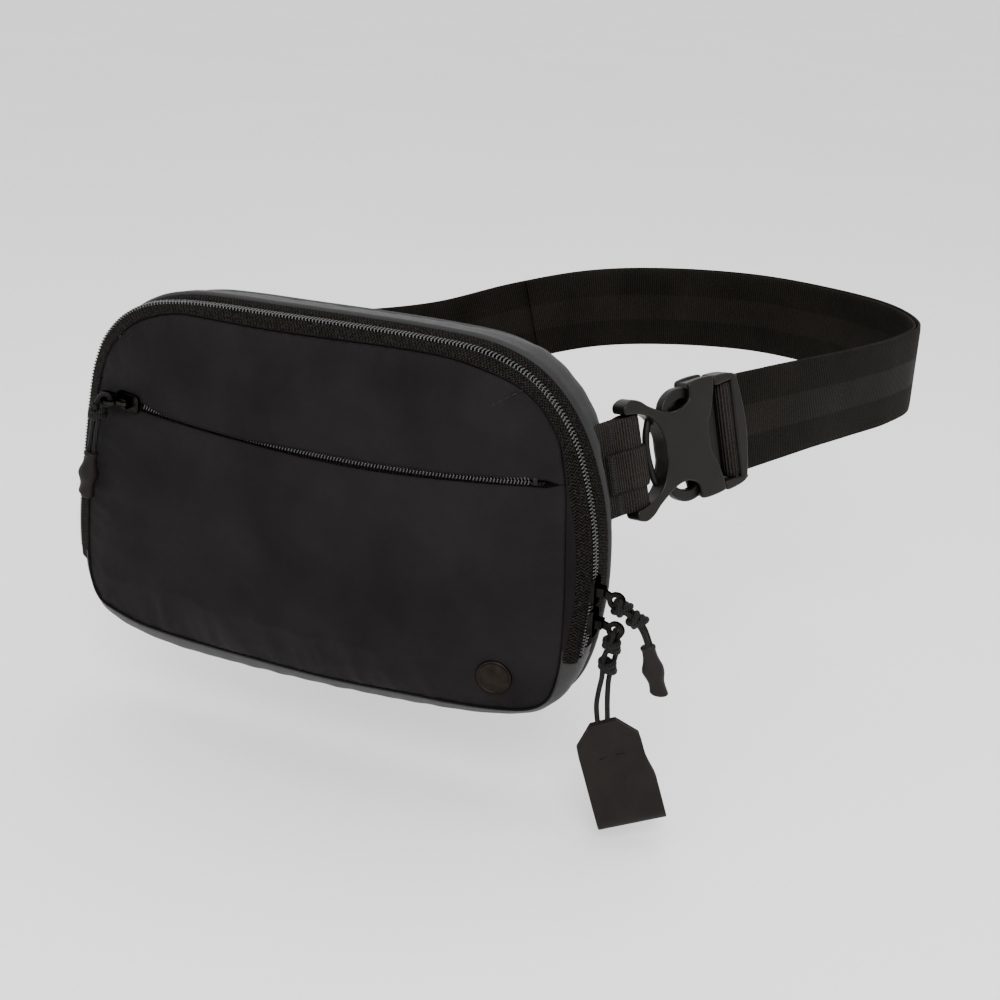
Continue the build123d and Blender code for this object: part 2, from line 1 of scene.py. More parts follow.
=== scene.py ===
"""A black zipped belt bag with a webbing belt, a side-release buckle and corded zip pulls."""

from math import cos, pi, radians, sin

import bmesh
import bpy
import numpy as np
from mathutils import Matrix, Vector


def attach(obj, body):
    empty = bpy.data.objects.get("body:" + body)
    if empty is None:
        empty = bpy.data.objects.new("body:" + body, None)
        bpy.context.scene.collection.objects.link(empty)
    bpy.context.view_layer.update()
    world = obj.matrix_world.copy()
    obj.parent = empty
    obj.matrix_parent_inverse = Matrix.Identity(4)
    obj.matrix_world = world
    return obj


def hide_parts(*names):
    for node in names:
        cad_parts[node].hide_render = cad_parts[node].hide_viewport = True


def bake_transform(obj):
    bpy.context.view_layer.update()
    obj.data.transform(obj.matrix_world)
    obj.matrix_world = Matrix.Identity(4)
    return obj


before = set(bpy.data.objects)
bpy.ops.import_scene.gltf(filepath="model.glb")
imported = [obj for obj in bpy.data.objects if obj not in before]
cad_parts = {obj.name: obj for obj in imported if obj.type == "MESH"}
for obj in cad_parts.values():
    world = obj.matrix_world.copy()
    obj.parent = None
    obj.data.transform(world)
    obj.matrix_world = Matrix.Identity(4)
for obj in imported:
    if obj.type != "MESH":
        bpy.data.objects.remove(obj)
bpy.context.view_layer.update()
MM = 0.001

# ---- sizes, all in millimetres ----
# The bag stands with its back at y = 0 and its front towards -y; z is up.
SEAM_Y = -36.0                # the front panel's seam lies in this plane
CHAIN_Y = -29.0               # the main zip's chain
TAPE_BACK_Y = -19.6           # where the main zip's back tape is sewn to the gusset
TAPE_START = 2.3              # the main zip's tapes are seen from here, on each side of the chain
TAPE_WIDTH = 6.5
CROWN_RADIUS = 572.11         # the front is gently curved about this upright axis
CROWN_AXIS_Y = 526.11
STAND_OUT = 1.1               # the teeth's outline stands this far out of the bag's body
LOOP_COUNT = 640              # points round each outline of the bag

# The bag's outline at its main zip, from the bottom's middle round by the right side (x, z).
BODY_OUTLINE = [
    (0, -76.2), (30, -75.1), (58, -72.9), (78, -69.6), (93, -64), (103.6, -53.5), (109.4, -40),
    (112.8, -22), (114.1, -5), (113, 15), (108.8, 35), (103.4, 49.5), (95, 61.5), (84, 70.3),
    (68, 75.8), (45, 77.6), (15, 78.2), (-15, 78.3), (-40, 78.4), (-57, 77.6), (-71, 74.5),
    (-82.6, 68.3), (-91.4, 59.3), (-96.4, 49.7), (-99.8, 39.3), (-104.7, 17.2), (-108.3, -1),
    (-111.4, -18), (-112.6, -34), (-111.8, -48), (-108.8, -60.4), (-100.2, -68.3), (-84.6, -73.5),
    (-62, -76.1), (-30, -76.7)]
# The front panel's seam (x, z), in the same order.
SEAM_OUTLINE = [
    (7.5, -66.3), (43, -64.8), (60, -64.1), (77, -62.5), (91.5, -59.5), (99.3, -54.3),
    (102.8, -45.5), (104.7, -32.4), (105.2, -12), (104.6, 10), (103.9, 30), (102.2, 42),
    (99.5, 51), (93, 60.5), (84, 67), (71.6, 71), (57, 73.6), (35, 74.3), (10, 74), (-15, 74),
    (-40, 74.8), (-53, 75), (-66, 71.9), (-76, 66.6), (-84.6, 58), (-88.6, 51), (-91, 44),
    (-93.3, 36.5), (-96.9, 20.7), (-101, -2), (-103.5, -20), (-104.9, -35), (-104.7, -43.4),
    (-103.3, -50.2), (-99.5, -55.6), (-89.9, -59.5), (-80, -62.1), (-58.4, -64.2), (-29.5, -65.5)]
TAPE_END_Z = -36.0            # the main zip's tapes end at this height on both sides
CHAIN_RIGHT_Z = -1.2          # the chain is closed from here round the top to the left end
TOOTH_PITCH = 1.4

# Three points of the pocket zip, which runs across the front in an arc.
POCKET_X_Z = [(-74.5, 38.0), (8.0, 32.0), (102.0, 33.5)]
POCKET_TAPE_INSET = 1.9
POCKET_TEETH = (0.75, 19.2)   # the arc's angles between which it has teeth, in degrees

BADGE_X_Z = (80.2, -46.4)
BADGE_RADIUS = 7.0

# The buckle's frame: along the belt, up, and out through its thickness.
BUCKLE_ORIGIN = np.array((115.7, -4.5, 32.4))
BUCKLE_YAW = radians(60.5)
BUCKLE_SLOPE = radians(3.5)
BUCKLE_LEAN = radians(12.5)
TAB_BAR_U = 4.4               # the female half's bar, which the sewn tab is wrapped round
BELT_BAR_U = 52.2             # the male half's bar, which the belt is wrapped round
SHELL_HALF = 4.3              # half the buckle's thickness
CHANNEL_HALF = 2.3            # half the room inside it for the prongs
# The upper half of each buckle outline (u, v); the lower half mirrors it.
SHELL_INNER = [
    (16.9, 1), (16.9, 4.5), (15.6, 8.6), (13.6, 12.2), (10.4, 15.2), (6, 17), (2, 17.9), (0.2, 18.1)]
SHELL_OUTER = [
    (-0.8, 18.8), (-0.9, 20.8), (0.4, 22.2), (3.6, 23), (7.4, 21.6), (10.6, 19.2), (14, 17.2), (18, 15.1),
    (22, 13.8), (26, 13.7), (29.2, 14.9), (31.2, 16.4), (31.8, 18.6), (31.9, 21.4), (33, 22.6), (38, 23),
    (44.2, 22.6), (44.9, 21.4), (44.4, 17.6), (42.2, 10.4), (40.2, 6.4), (39.5, 3.4)]
SHELL_CENTRE_V = 0.6          # the shell's plates stand a little above the belt's middle
PRONG_EDGE = [
    (43, 8.8), (40, 9.6), (35, 14.2), (30, 17.2), (26, 16.9), (22.6, 15.2), (20.7, 12.9), (18.9, 13),
    (18.9, 15.6), (20.8, 18.9), (24.4, 21.2), (28.6, 21.9), (33, 21), (38, 18), (41.5, 14.4), (43, 12.9)]

BELT_WIDTH = 38.8
TAB_WIDTH = 35.6
LOOP_WIDTH = 15.0
BELT_THICK = 1.6
TAIL_GAP = 1.9                # from the belt's middle to the middle of its inner, free layer
# The belt's line (x, y, z, lean in degrees), from the left tab round to the buckle's bar.
BELT_LINE = [
    (-111, -4, 25, 0), (-121, 26, 24, 0), (-122, 66, 22, 0), (-103, 103, 18.9, -2),
    (-68, 128, 15.4, -6), (-30, 150, 18.8, -12), (4, 174, 27.4, -12), (36, 194, 33.2, -8),
    (72, 207, 35.6, -4), (112, 213, 36.1, 0), (150, 203, 36.3, 0), (181.5, 184, 36.6, 0),
    (197.4, 156.5, 36.5, 0), (192, 132, 35.9, 0), (178.5, 106, 35.9, 0), (165, 82, 36.5, 3)]
TAIL_SHARE = 0.42             # the free layer starts this far along the belt

# The cloth simulation that settles the front panels.
SETTLE_SCALE = 10.0           # the panels are simulated this much larger
SETTLE_FRAMES = 14
SETTLE_LIMIT = 1.5            # no point moves further than this
SETTLE_CLOTH = {
    "quality": 6, "mass": 0.3, "tension_stiffness": 30, "compression_stiffness": 30, "shear_stiffness": 8,
    "bending_stiffness": 0.6, "vertex_group_mass": "rim", "shrink_min": -0.006, "use_pressure": True,
    "uniform_pressure_force": 1.0}

CORD = 2.0                    # diameter of the pull cords
TURN = 2.25                   # half the width of a cord's turn through its eye
SIDE = np.array((0.0, -1.0, 0.0))

CAMERA_PLACE = (250.2, -466.2, 219.1)
CAMERA_AZIMUTH = 21.7
CAMERA_ELEVATION = 22.9
CAMERA_ROLL = 1.6
CAMERA_LENS = 50.56
FLOOR_Z = -117.0


# ---- curves and grids in numpy ----
def unit(v):
    v = np.asarray(v, float)
    return v / np.maximum(np.linalg.norm(v, axis=-1, keepdims=True), 1e-9)


def ease(x, low, high):
    """0 below low, 1 above high, and smooth between."""
    t = np.clip((np.asarray(x, float) - low) / (high - low), 0, 1)
    return t * t * (3 - 2 * t)


def lengths(line):
    """How far along a line each of its points is."""
    return np.concatenate([[0], np.cumsum(np.linalg.norm(np.diff(line, axis=0), axis=1))])


def at_depth(flat, y):
    """Points (x, y, z) from points (x, z) and a depth for all of them or for each."""
    return np.insert(np.asarray(flat, float), 1, y, axis=-1)


def spread(line, count, closed=False):
    """Evenly spaced points along a fine line; a closed line's last point repeats its first."""
    reach = lengths(line)
    targets = np.linspace(0, reach[-1], count, endpoint=not closed)
    return np.column_stack([np.interp(targets, reach, column) for column in line.T])


def smooth_line(points, count, closed=False):
    """Evenly spaced points on the smooth curve through the given points."""
    points = np.asarray(points, float)
    if closed:
        ends = np.vstack([points[-1:], points, points[:2]])
    else:
        first = 2 * points[0] - points[1]
        last = 2 * points[-1] - points[-2]
        ends = np.vstack([first, points, last])
    t = np.linspace(0, 1, 24, endpoint=False)[:, None]
    runs = []
    for p0, p1, p2, p3 in zip(ends, ends[1:], ends[2:], ends[3:]):
        bend = (p2 - p0) * t + (2 * p0 - 5 * p1 + 4 * p2 - p3) * t ** 2
        runs.append(p1 + 0.5 * (bend + (3 * p1 - p0 - 3 * p2 + p3) * t ** 3))
    runs.append(ends[-2:-1])
    return spread(np.vstack(runs), count, closed)


def loop_part(loop, start, end, count):
    """Part of a closed loop from one index on to another, past its end if need be."""
    if end <= start:
        end += len(loop)
    return spread(loop[np.arange(start, end + 1) % len(loop)], count)


def nearest(loop, x, z):
    return int(np.argmin(np.hypot(loop[:, 0] - x, loop[:, -1] - z)))


def coons(top, bottom, left, right):
    """A grid between four edges; top and bottom run to the right, left and right downwards."""
    s = np.linspace(0, 1, len(top))[None, :, None]
    t = np.linspace(0, 1, len(left))[:, None, None]
    downwards = (1 - t) * top + t * bottom
    across = (1 - s) * left[:, None] + s * right[:, None]
    corners = (1 - t) * ((1 - s) * top[0] + s * top[-1]) + t * ((1 - s) * bottom[0] + s * bottom[-1])
    return downwards + across - corners


def ripple(along, seed, waves, wavelengths):
    """A wandering height along a line, from a few seeded sine waves; about -1 to 1."""
    rng = np.random.default_rng(seed)
    total = np.zeros_like(along, float)
    for _ in range(waves):
        wavelength = rng.uniform(*wavelengths)
        total += rng.uniform(0.4, 1.0) * np.sin(2 * pi * along / wavelength + rng.uniform(0, 2 * pi))
    return total / waves ** 0.5


def full_turn(count):
    """Evenly spaced angles once round."""
    return np.linspace(0, 2 * pi, count, endpoint=False)


def carried_frames(path, across):
    """For each point of a path, two unit vectors square to it, turned as little as can be."""
    ahead = unit(np.gradient(path, axis=0))
    side = unit(np.asarray(across, float))
    sides = np.empty_like(path)
    for i, heading in enumerate(ahead):
        side = side - heading * np.dot(side, heading)
        side = side / max(np.linalg.norm(side), 1e-9)
        sides[i] = side
    return sides, np.cross(ahead, sides)


def tube_rows(path, radius, around, across=(0.31, 0.52, 0.79)):
    """Rings of points round a path, one row each; radius is a number or one per point."""
    sides, others = carried_frames(path, across)
    turns = full_turn(around)
    radius = np.broadcast_to(radius, len(path))[:, None, None]
    circles = sides[:, None] * np.cos(turns)[None, :, None] + others[:, None] * np.sin(turns)[None, :, None]
    return path[:, None] + circles * radius


# ---- pieces from grids ----
def flat_faces(rows, columns, closed):
    """Corner indices of a grid's quads, and each quad's row and column."""
    i, j = np.meshgrid(np.arange(rows - 1), np.arange(columns if closed else columns - 1), indexing="ij")
    after = (j + 1) % columns
    quads = np.stack([i * columns + j, i * columns + after, (i + 1) * columns + after,
                      (i + 1) * columns + j], axis=-1)
    return quads.reshape(-1, 4), i.ravel(), j.ravel()


def add_object(name, data):
    made = bpy.data.objects.new(name, data)
    bpy.context.collection.objects.link(made)
    return made


def mesh_piece(name, points, faces, *materials):
    mesh = bpy.data.meshes.new(name)
    mesh.from_pydata((np.asarray(points).reshape(-1, 3) * MM).tolist(), [], faces)
    mesh.shade_smooth()
    for material in materials:
        mesh.materials.append(material)
    return add_object(name, mesh)


def set_uv(piece, u, v):
    """Gives a piece's corners their UV map, in metres, from lengths in millimetres."""
    layers = piece.data.uv_layers
    layer = layers[0] if layers else layers.new(name="UVMap")
    layer.data.foreach_set("uv", (np.stack([u, v], axis=-1) * MM).ravel())


def grid_piece(name, rows, *materials, closed=False, flip=False):
    """A sheet of quads through rows of points. Its UV map is in metres: along a row, across rows."""
    rows = np.asarray(rows, float)
    quads, i, j = flat_faces(*rows.shape[:2], closed)
    looped = np.concatenate([rows, rows[:, :1]], axis=1)
    middle = looped[len(rows) // 2]
    along = lengths(middle)
    steps = np.linalg.norm(np.diff(rows, axis=0), axis=2).mean(axis=1)
    across = np.concatenate([[0], np.cumsum(steps)])
    u = np.stack([along[j], along[j + 1], along[j + 1], along[j]], axis=-1)
    v = np.stack([across[i], across[i], across[i + 1], across[i + 1]], axis=-1)
    if flip:
        quads = quads[:, ::-1]
        u = u[:, ::-1]
        v = v[:, ::-1]
    piece = mesh_piece(name, rows, quads.tolist(), *materials)
    set_uv(piece, u, v)
    return piece


def thicken(piece, thickness, inner_material=0, offset=-1):
    """Gives a sheet its thickness: away from its outer side, or to both sides with offset 0."""
    solid = piece.modifiers.new("thickness", "SOLIDIFY")
    solid.thickness = thickness * MM
    solid.offset = offset
    solid.material_offset = inner_material
    return piece


def place(piece, body, slot, *nodes):
    """Rides a piece on its body and hides the CAD nodes it stands for."""
    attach(piece, body)
    finish(piece, slot, *nodes)


def finish(piece, slot, *nodes):
    if nodes:
        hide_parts(*nodes)


def bead_points(places, forward, outward, length, width, height):
    """Small rounded lozenges, 4 rings and 2 tips each: a stitch or a tooth at every place."""
    forward = unit(forward)
    sideways = unit(np.cross(outward, forward))
    outward = np.cross(forward, sideways)
    points = []
    for reach, fullness in ((-1, 0.25), (-0.72, 0.85), (0, 1), (0.72, 0.85), (1, 0.25)):
        for turn in full_turn(6):
            points.append(places + forward * (reach * length / 2)
                          + sideways * (fullness * width / 2 * cos(turn))
                          + outward * (fullness * height / 2 * sin(turn)))
    return np.stack(points, axis=1)


def bead_piece(name, points, material):
    """One mesh of all the lozenges of bead_points."""
    count = len(points)
    quads, _, _ = flat_faces(5, 6, True)
    faces = np.vstack([quads + 30 * k for k in range(count)]).tolist()
    for first in range(0, 30 * count, 30):
        faces.append([first + n for n in range(6)])
        faces.append([first + 29 - n for n in range(6)])
    return mesh_piece(name, points, faces, material)


def stitch_row(path, outward, length=2.4, gap=1.1, width=0.55):
    """Stitches along a path: lozenges a gap apart, half sunk in the cloth."""
    count = max(2, int(lengths(path)[-1] / (length + gap)))
    fine = spread(np.hstack([path, outward]), 2 * count + 1)
    middles = fine[1::2, :3]
    forward = fine[2::2, :3] - fine[0:-1:2, :3]
    return bead_points(middles, forward, unit(fine[1::2, 3:]), length, width, width * 0.8)


def sew(name, path, outward, body, slot, *spacing):
    """A row of stitches on a body, along a path."""
    place(bead_piece(name, stitch_row(path, outward, *spacing), THREAD), body, slot)


def settle(rows):
    """Blows a grid of cloth out by pressure with its rim held, and returns the settled grid."""
    piece = grid_piece("settling", rows * SETTLE_SCALE, flip=True)
    count, width = rows.shape[:2]
    index = np.arange(count * width).reshape(count, width)
    rim = np.unique(np.concatenate([index[0], index[-1], index[:, 0], index[:, -1]]))
    piece.vertex_groups.new(name="rim").add(rim.tolist(), 1.0, "REPLACE")
    cloth = piece.modifiers.new("cloth", "CLOTH")
    for name, value in SETTLE_CLOTH.items():
        setattr(cloth.settings, name, value)
    cloth.settings.effector_weights.gravity = 0
    cloth.point_cache.frame_start = 1
    cloth.point_cache.frame_end = SETTLE_FRAMES
    for number in range(1, SETTLE_FRAMES + 1):
        bpy.context.scene.frame_set(number)
    shaped = piece.evaluated_get(bpy.context.evaluated_depsgraph_get()).data
    result = np.empty(count * width * 3)
    shaped.vertices.foreach_get("co", result)
    mesh = piece.data
    bpy.data.objects.remove(piece)
    bpy.data.meshes.remove(mesh)
    bpy.context.scene.frame_set(1)
    moved = result.reshape(rows.shape) / (MM * SETTLE_SCALE) - rows
    far = np.linalg.norm(moved, axis=2, keepdims=True)
    return rows + moved * np.minimum(1, SETTLE_LIMIT / np.maximum(far, 1e-9))


# ---- materials ----
class Finish:
    """A material under construction: a principled shader and the nodes that feed it."""

    def __init__(self, name, roughness, **sockets):
        self.material = bpy.data.materials.new(name)
        self.material.use_nodes = True
        self.tree = self.material.node_tree
        self.shader = self.tree.nodes["Principled BSDF"]
        self.shader.inputs["Roughness"].default_value = roughness
        for socket, value in sockets.items():
            self.shader.inputs[socket.replace("_", " ")].default_value = value

    def node(self, kind, inputs=None, **settings):
        made = self.tree.nodes.new(kind)
        for name, value in settings.items():
            setattr(made, name, value)
        for key, value in (inputs or {}).items():
            if isinstance(value, bpy.types.NodeSocket):
                self.tree.links.new(value, made.inputs[key])
            else:
                made.inputs[key].default_value = value
        return made

    def math(self, operation, a, b=0.0):
        return self.node("ShaderNodeMath", {0: a, 1: b}, operation=operation).outputs[0]

    def add(self, a, b):
        return self.math("ADD", a, b)

    def times(self, a, b):
        return self.math("MULTIPLY", a, b)

    def coordinate(self, kind="UV"):
        """Coordinates in metres: the piece's own cloth with UV, the bag's frame with Object."""
        return self.node("ShaderNodeTexCoord").outputs[kind]

    def parts(self, vector):
        return self.node("ShaderNodeSeparateXYZ", {0: vector}).outputs

    def noise(self, scale, detail, kind="Object"):
        inputs = {"Vector": self.coordinate(kind), "Scale": scale, "Detail": detail, "Roughness": 0.55}
        return self.node("ShaderNodeTexNoise", inputs).outputs[0]

    def wave(self, length, pitch):
        """A sine from -1 to 1 of a length in metres, one wave every pitch millimetres."""
        return self.math("SINE", self.times(length, 2 * pi / (pitch * MM)))

    def colours(self, amount, dark, light, low=0.3, high=0.7):
        """Colours the shader from dark to light as amount goes from low to high."""
        ramp = self.node("ShaderNodeValToRGB", {0: amount})
        ramp.color_ramp.elements[0].position = low
        ramp.color_ramp.elements[0].color = (*dark, 1)
        ramp.color_ramp.elements[1].position = high
        ramp.color_ramp.elements[1].color = (*light, 1)
        self.tree.links.new(ramp.outputs[0], self.shader.inputs["Base Color"])

    def rough(self, amount, low, high):
        span = self.node("ShaderNodeMapRange", {"Value": amount, "To Min": low, "To Max": high})
        self.tree.links.new(span.outputs[0], self.shader.inputs["Roughness"])

    def bumps(self, *layers):
        """Stacks bumps; each layer is a height, its distance in mm, and its strength."""
        normal = None
        for height, distance, strength in layers:
            inputs = {"Height": height, "Distance": distance * MM, "Strength": strength}
            if normal is not None:
                inputs["Normal"] = normal
            normal = self.node("ShaderNodeBump", inputs).outputs[0]
        self.tree.links.new(normal, self.shader.inputs["Normal"])
        return self.material


def woven(name, dark, light, pitch, roughness, sheen, specular):
    """Plain woven cloth: a fine check of threads over soft, uneven puckers."""
    cloth = Finish(name, roughness, Sheen_Weight=sheen, Specular_IOR_Level=specular)
    u, v, _ = cloth.parts(cloth.coordinate())
    check = cloth.times(cloth.wave(u, pitch), cloth.wave(v, pitch))
    soft = cloth.noise(22, 4)
    slub = cloth.noise(900, 2)
    cloth.colours(cloth.add(cloth.times(check, 0.12), soft), dark, light)
    cloth.rough(slub, roughness - 0.07, roughness + 0.1)
    return cloth.bumps((soft, 1.6, 0.5), (cloth.noise(140, 3), 0.25, 0.35), (check, 0.05, 0.7))


def make_webbing(name, dark, light, satin_band=True):
    """Ribbed belt webbing: ribs across its length, and a smoother band down its middle with a painted sheen.
    """
    web = Finish(name, 0.65, Specular_IOR_Level=0.04)
    u, v, _ = web.parts(web.coordinate())
    rib = web.wave(u, 1.05)
    thread = web.wave(v, 0.8)
    tuft = web.noise(1400, 2, "UV")
    half = BELT_WIDTH / 2 * MM
    from_middle = web.math("ABSOLUTE", web.math("SUBTRACT", v, half))
    edge = {"Value": from_middle, "From Min": 0.0058, "From Max": 0.0066, "To Min": 1.0, "To Max": 0.0}
    band = web.node("ShaderNodeMapRange", edge).outputs[0]
    band = web.times(band, 1.0 if satin_band else 0.0)
    patchy = web.noise(35, 4)
    shade = web.add(web.times(rib, 0.13), web.times(tuft, 0.5))
    shade = web.add(shade, web.times(patchy, 0.5))
    # The middle band is painted a little lighter: a painted sheen, besides its lower roughness.
    web.colours(web.add(shade, web.times(band, 0.05)), dark, light)
    web.rough(band, 0.62, 0.5)
    relief = web.times(rib, web.math("SUBTRACT", 1.0, web.times(band, 0.4)))
    return web.bumps((patchy, 0.6, 0.3), (relief, 0.28, 0.9), (thread, 0.05, 0.5), (tuft, 0.12, 0.5))


def make_knit():
    """The zip tapes' knitted cloth: small chevrons with lighter flecks."""
    knit = Finish("zip_tape_knit", 0.75, Specular_IOR_Level=0.02)
    u, v, _ = knit.parts(knit.coordinate())
    zigzag = knit.math("PINGPONG", v, 0.0011)
    chevron = knit.wave(knit.add(u, zigzag), 1.25)
    tuft = knit.noise(1100, 2)
    knit.colours(knit.add(knit.times(chevron, 0.2), tuft),
                 (0.0014, 0.0012, 0.0011), (0.0210, 0.0182, 0.0165), 0.36, 0.9)
    return knit.bumps((chevron, 0.22, 0.8), (tuft, 0.15, 0.6))


def make_spacer_mesh():
    """The padded back's airy mesh: rows of small holes in a knitted face."""
    mesh = Finish("back_spacer_mesh", 0.8, Sheen_Weight=0.15, Specular_IOR_Level=0.2)
    u, v, _ = mesh.parts(mesh.coordinate())
    holes = mesh.times(mesh.wave(mesh.add(u, v), 3.4),
                      mesh.wave(mesh.math("SUBTRACT", u, v), 3.4))
    fibre = mesh.noise(1300, 2)
    shade = mesh.add(mesh.times(holes, 0.35), mesh.times(fibre, 0.4))
    mesh.colours(shade, (0.002, 0.002, 0.002), (0.022, 0.021, 0.021), 0.0, 0.6)
    return mesh.bumps((holes, 0.5, 0.9), (fibre, 0.12, 0.5))


def make_moulded(name, dark, light, roughness, grain, specular):
    """Moulded plastic or rubber: a fine grain, faint flow marks and slightly uneven gloss."""
    moulded = Finish(name, roughness, Specular_IOR_Level=specular)
    cloudy = moulded.noise(70, 4)
    fine = moulded.noise(2600, 2)
    moulded.colours(cloudy, dark, light)
    moulded.rough(moulded.noise(180, 3), roughness - 0.07, roughness + 0.1)
    return moulded.bumps((cloudy, 0.25, 0.25), (fine, 0.04, grain))


def make_metal(name, dark, light, roughness):
    """Plated metal: brushed and lightly scuffed, darker in patches; dark at a grazing angle."""
    metal = Finish(name, roughness, Metallic=1.0, Specular_Tint=(0.1, 0.1, 0.1, 1.0))
    patch = metal.noise(240, 4)
    scuff = metal.noise(1500, 3)
    metal.colours(patch, dark, light, 0.25, 0.75)
    metal.rough(scuff, roughness - 0.1, roughness + 0.14)
    return metal.bumps((scuff, 0.04, 0.4), (patch, 0.1, 0.2))


def make_cord_braid():
    """Round braided cord: crossing strands, seen as fine slanting bumps."""
    braid = Finish("pull_cord_braid", 0.6, Specular_IOR_Level=0.12)
    x, y, z = braid.parts(braid.coordinate("Object"))
    first = braid.wave(braid.add(z, braid.times(y, 0.8)), 1.1)
    second = braid.wave(braid.math("SUBTRACT", z, braid.times(x, 0.8)), 1.1)
    cross = braid.times(first, second)
    fibre = braid.noise(2400, 2)
    braid.colours(braid.add(braid.times(cross, 0.25), fibre),
                  (0.0016, 0.0015, 0.0014), (0.016, 0.0148, 0.0140), 0.3, 0.85)
    return braid.bumps((cross, 0.25, 0.8), (fibre, 0.1, 0.5))


def make_leather():
    """Matte leather: fine pebbled grain, soft creases and slightly paler worn patches."""
    leather = Finish("tag_leather_grain", 0.62, Specular_IOR_Level=0.12)
    inputs = {"Vector": leather.coordinate("Object"), "Scale": 1500.0}
    grain = leather.node("ShaderNodeTexVoronoi", inputs).outputs[0]
    worn = leather.noise(90, 5)
    leather.colours(worn, (0.0042, 0.0032, 0.0026), (0.0085, 0.0066, 0.0056))
    leather.rough(worn, 0.55, 0.72)
    return leather.bumps((worn, 0.5, 0.3), (leather.noise(420, 4), 0.2, 0.5), (grain, 0.1, 0.5))


def make_pale_floor():
    floor = Finish("studio_floor", 0.9, Specular_IOR_Level=0.1)
    floor.colours(floor.noise(3, 2), (0.86, 0.86, 0.855), (0.88, 0.88, 0.875))
    return floor.bumps((floor.noise(60, 3), 0.2, 0.1))


NYLON = woven("shell_nylon_weave", (0.0068, 0.0059, 0.0064), (0.0124, 0.0109, 0.0118), 0.42, 0.5, 0.0, 0.02)
# The gussets' nylon is the shell nylon without its gloss and painted darker: its darker colours are painted
# shade.
SHADED_GUSSET_NYLON = woven(
    "gusset_nylon_painted_shade", (0.0052, 0.0046, 0.0049), (0.0098, 0.0087, 0.0092), 0.42, 0.6, 0.0, 0.0)
LINING = woven("lining_weave", (0.008, 0.008, 0.0085), (0.016, 0.016, 0.0165), 0.5, 0.55, 0.03, 0.15)
WEBBING = make_webbing("belt_webbing", (0.0022, 0.0018, 0.0012), (0.0108, 0.0092, 0.0070))
TAB_WEB = make_webbing("tab_webbing", (0.0026, 0.0022, 0.0019), (0.0260, 0.0230, 0.0205), satin_band=False)
KNIT = make_knit()
MESH_BACK = make_spacer_mesh()
COIL = make_moulded("zip_coil_nylon", (0.002, 0.002, 0.002), (0.004, 0.004, 0.004), 0.2, 0.2, 0.7)
PLASTIC = make_moulded("buckle_acetal", (0.0028, 0.0023, 0.0019), (0.0046, 0.0039, 0.0032), 0.34, 0.6, 0.16)
RUBBER = make_moulded(
    "toggle_rubber_moulded", (0.0050, 0.0037, 0.0032), (0.0088, 0.0068, 0.0060), 0.5, 0.7, 0.12)
THREAD = make_moulded("sewing_thread", (0.003, 0.0028, 0.0026), (0.008, 0.0075, 0.007), 0.5, 0.8, 0.15)
GUNMETAL = make_metal("slider_gunmetal", (0.0045, 0.0041, 0.0037), (0.017, 0.0155, 0.014), 0.3)
BRIGHT = make_metal("pocket_slider_nickel", (0.0075, 0.0070, 0.0065), (0.026, 0.024, 0.022), 0.26)
BADGE = make_metal("badge_plate", (0.0105, 0.0085, 0.0068), (0.022, 0.0185, 0.0150), 0.38)
BRAID = make_cord_braid()
LEATHER = make_leather()


# ---- outlines of the bag ----
def ray_to_loop(points, directions, loop):
    """How far each point is from a closed loop along its direction, in the plane."""
    runs = np.roll(loop, -1, axis=0) - loop
    gaps = []
    for point, direction in zip(points, directions):
        across = direction[0] * runs[:, 1] - direction[1] * runs[:, 0]
        across = np.where(np.abs(across) < 1e-9, 1e-9, across)
        offset = loop - point
        reach = (offset[:, 0] * runs[:, 1] - offset[:, 1] * runs[:, 0]) / across
        share = (offset[:, 0] * direction[1] - offset[:, 1] * direction[0]) / across
        hits = reach[(share >= 0) & (share <= 1) & (reach > 0)]
        gaps.append(hits.min())
    return np.array(gaps)


def rolling_mean(values, width):
    kernel = np.ones(2 * width + 1) / (2 * width + 1)
    wrapped = np.concatenate([values[-width:], values, values[:width]])
    return np.convolve(wrapped, kernel, "valid")


def outward_of(loop):
    ahead = unit(np.roll(loop, -1, axis=0) - np.roll(loop, 1, axis=0))
    return np.column_stack([ahead[:, 1], -ahead[:, 0]])


TEETH_OUTLINE = smooth_line(BODY_OUTLINE, LOOP_COUNT, closed=True)
OUT = outward_of(TEETH_OUTLINE)
BODY = TEETH_OUTLINE - STAND_OUT * OUT
SEAM = smooth_line(SEAM_OUTLINE, LOOP_COUNT, closed=True)
SEAM_GAP = rolling_mean(ray_to_loop(BODY, -OUT, SEAM), 3)
BODY_LENGTH = np.linalg.norm(np.roll(BODY, -1, axis=0) - BODY, axis=1).sum()
AROUND = np.arange(LOOP_COUNT) * BODY_LENGTH / LOOP_COUNT
BACK_GAP = 2.0 + 3.0 * OUT[:, 0] ** 2      # the back is smaller than the body by this
RIGHT_SIDE = (BODY[:, 0] > 0) * (1 - ease(BODY[:, 1], 20, 52))   # 1 down the bag's right end
TAPE_SEAM_Y = TAPE_BACK_Y + 2.6 * RIGHT_SIDE     # the back tape is wider down the right end


def ring(offset, y, indices=None):
    """A closed row round the bag, offset outwards from its outline, at a depth y."""
    row = at_depth(BODY + OUT * np.broadcast_to(offset, LOOP_COUNT)[:, None], y)
    return row if indices is None else row[indices]


def run_of(start, end):
    """Indices round the outline from one index on to another."""
    if end <= start:
        end += LOOP_COUNT
    return np.arange(start, end + 1) % LOOP_COUNT


RIGHT_TAPE_END = nearest(BODY, 112, TAPE_END_Z)
LEFT_TAPE_END = nearest(BODY, -112, TAPE_END_Z)
ZIP_RUN = run_of(RIGHT_TAPE_END - 2, LEFT_TAPE_END + 2)
LOWER_RUN = run_of(LEFT_TAPE_END - 3, RIGHT_TAPE_END + 3)


# ---- the front ----
def crown_y(x):
    return CROWN_AXIS_Y - np.sqrt(CROWN_RADIUS ** 2 - np.asarray(x, float) ** 2)


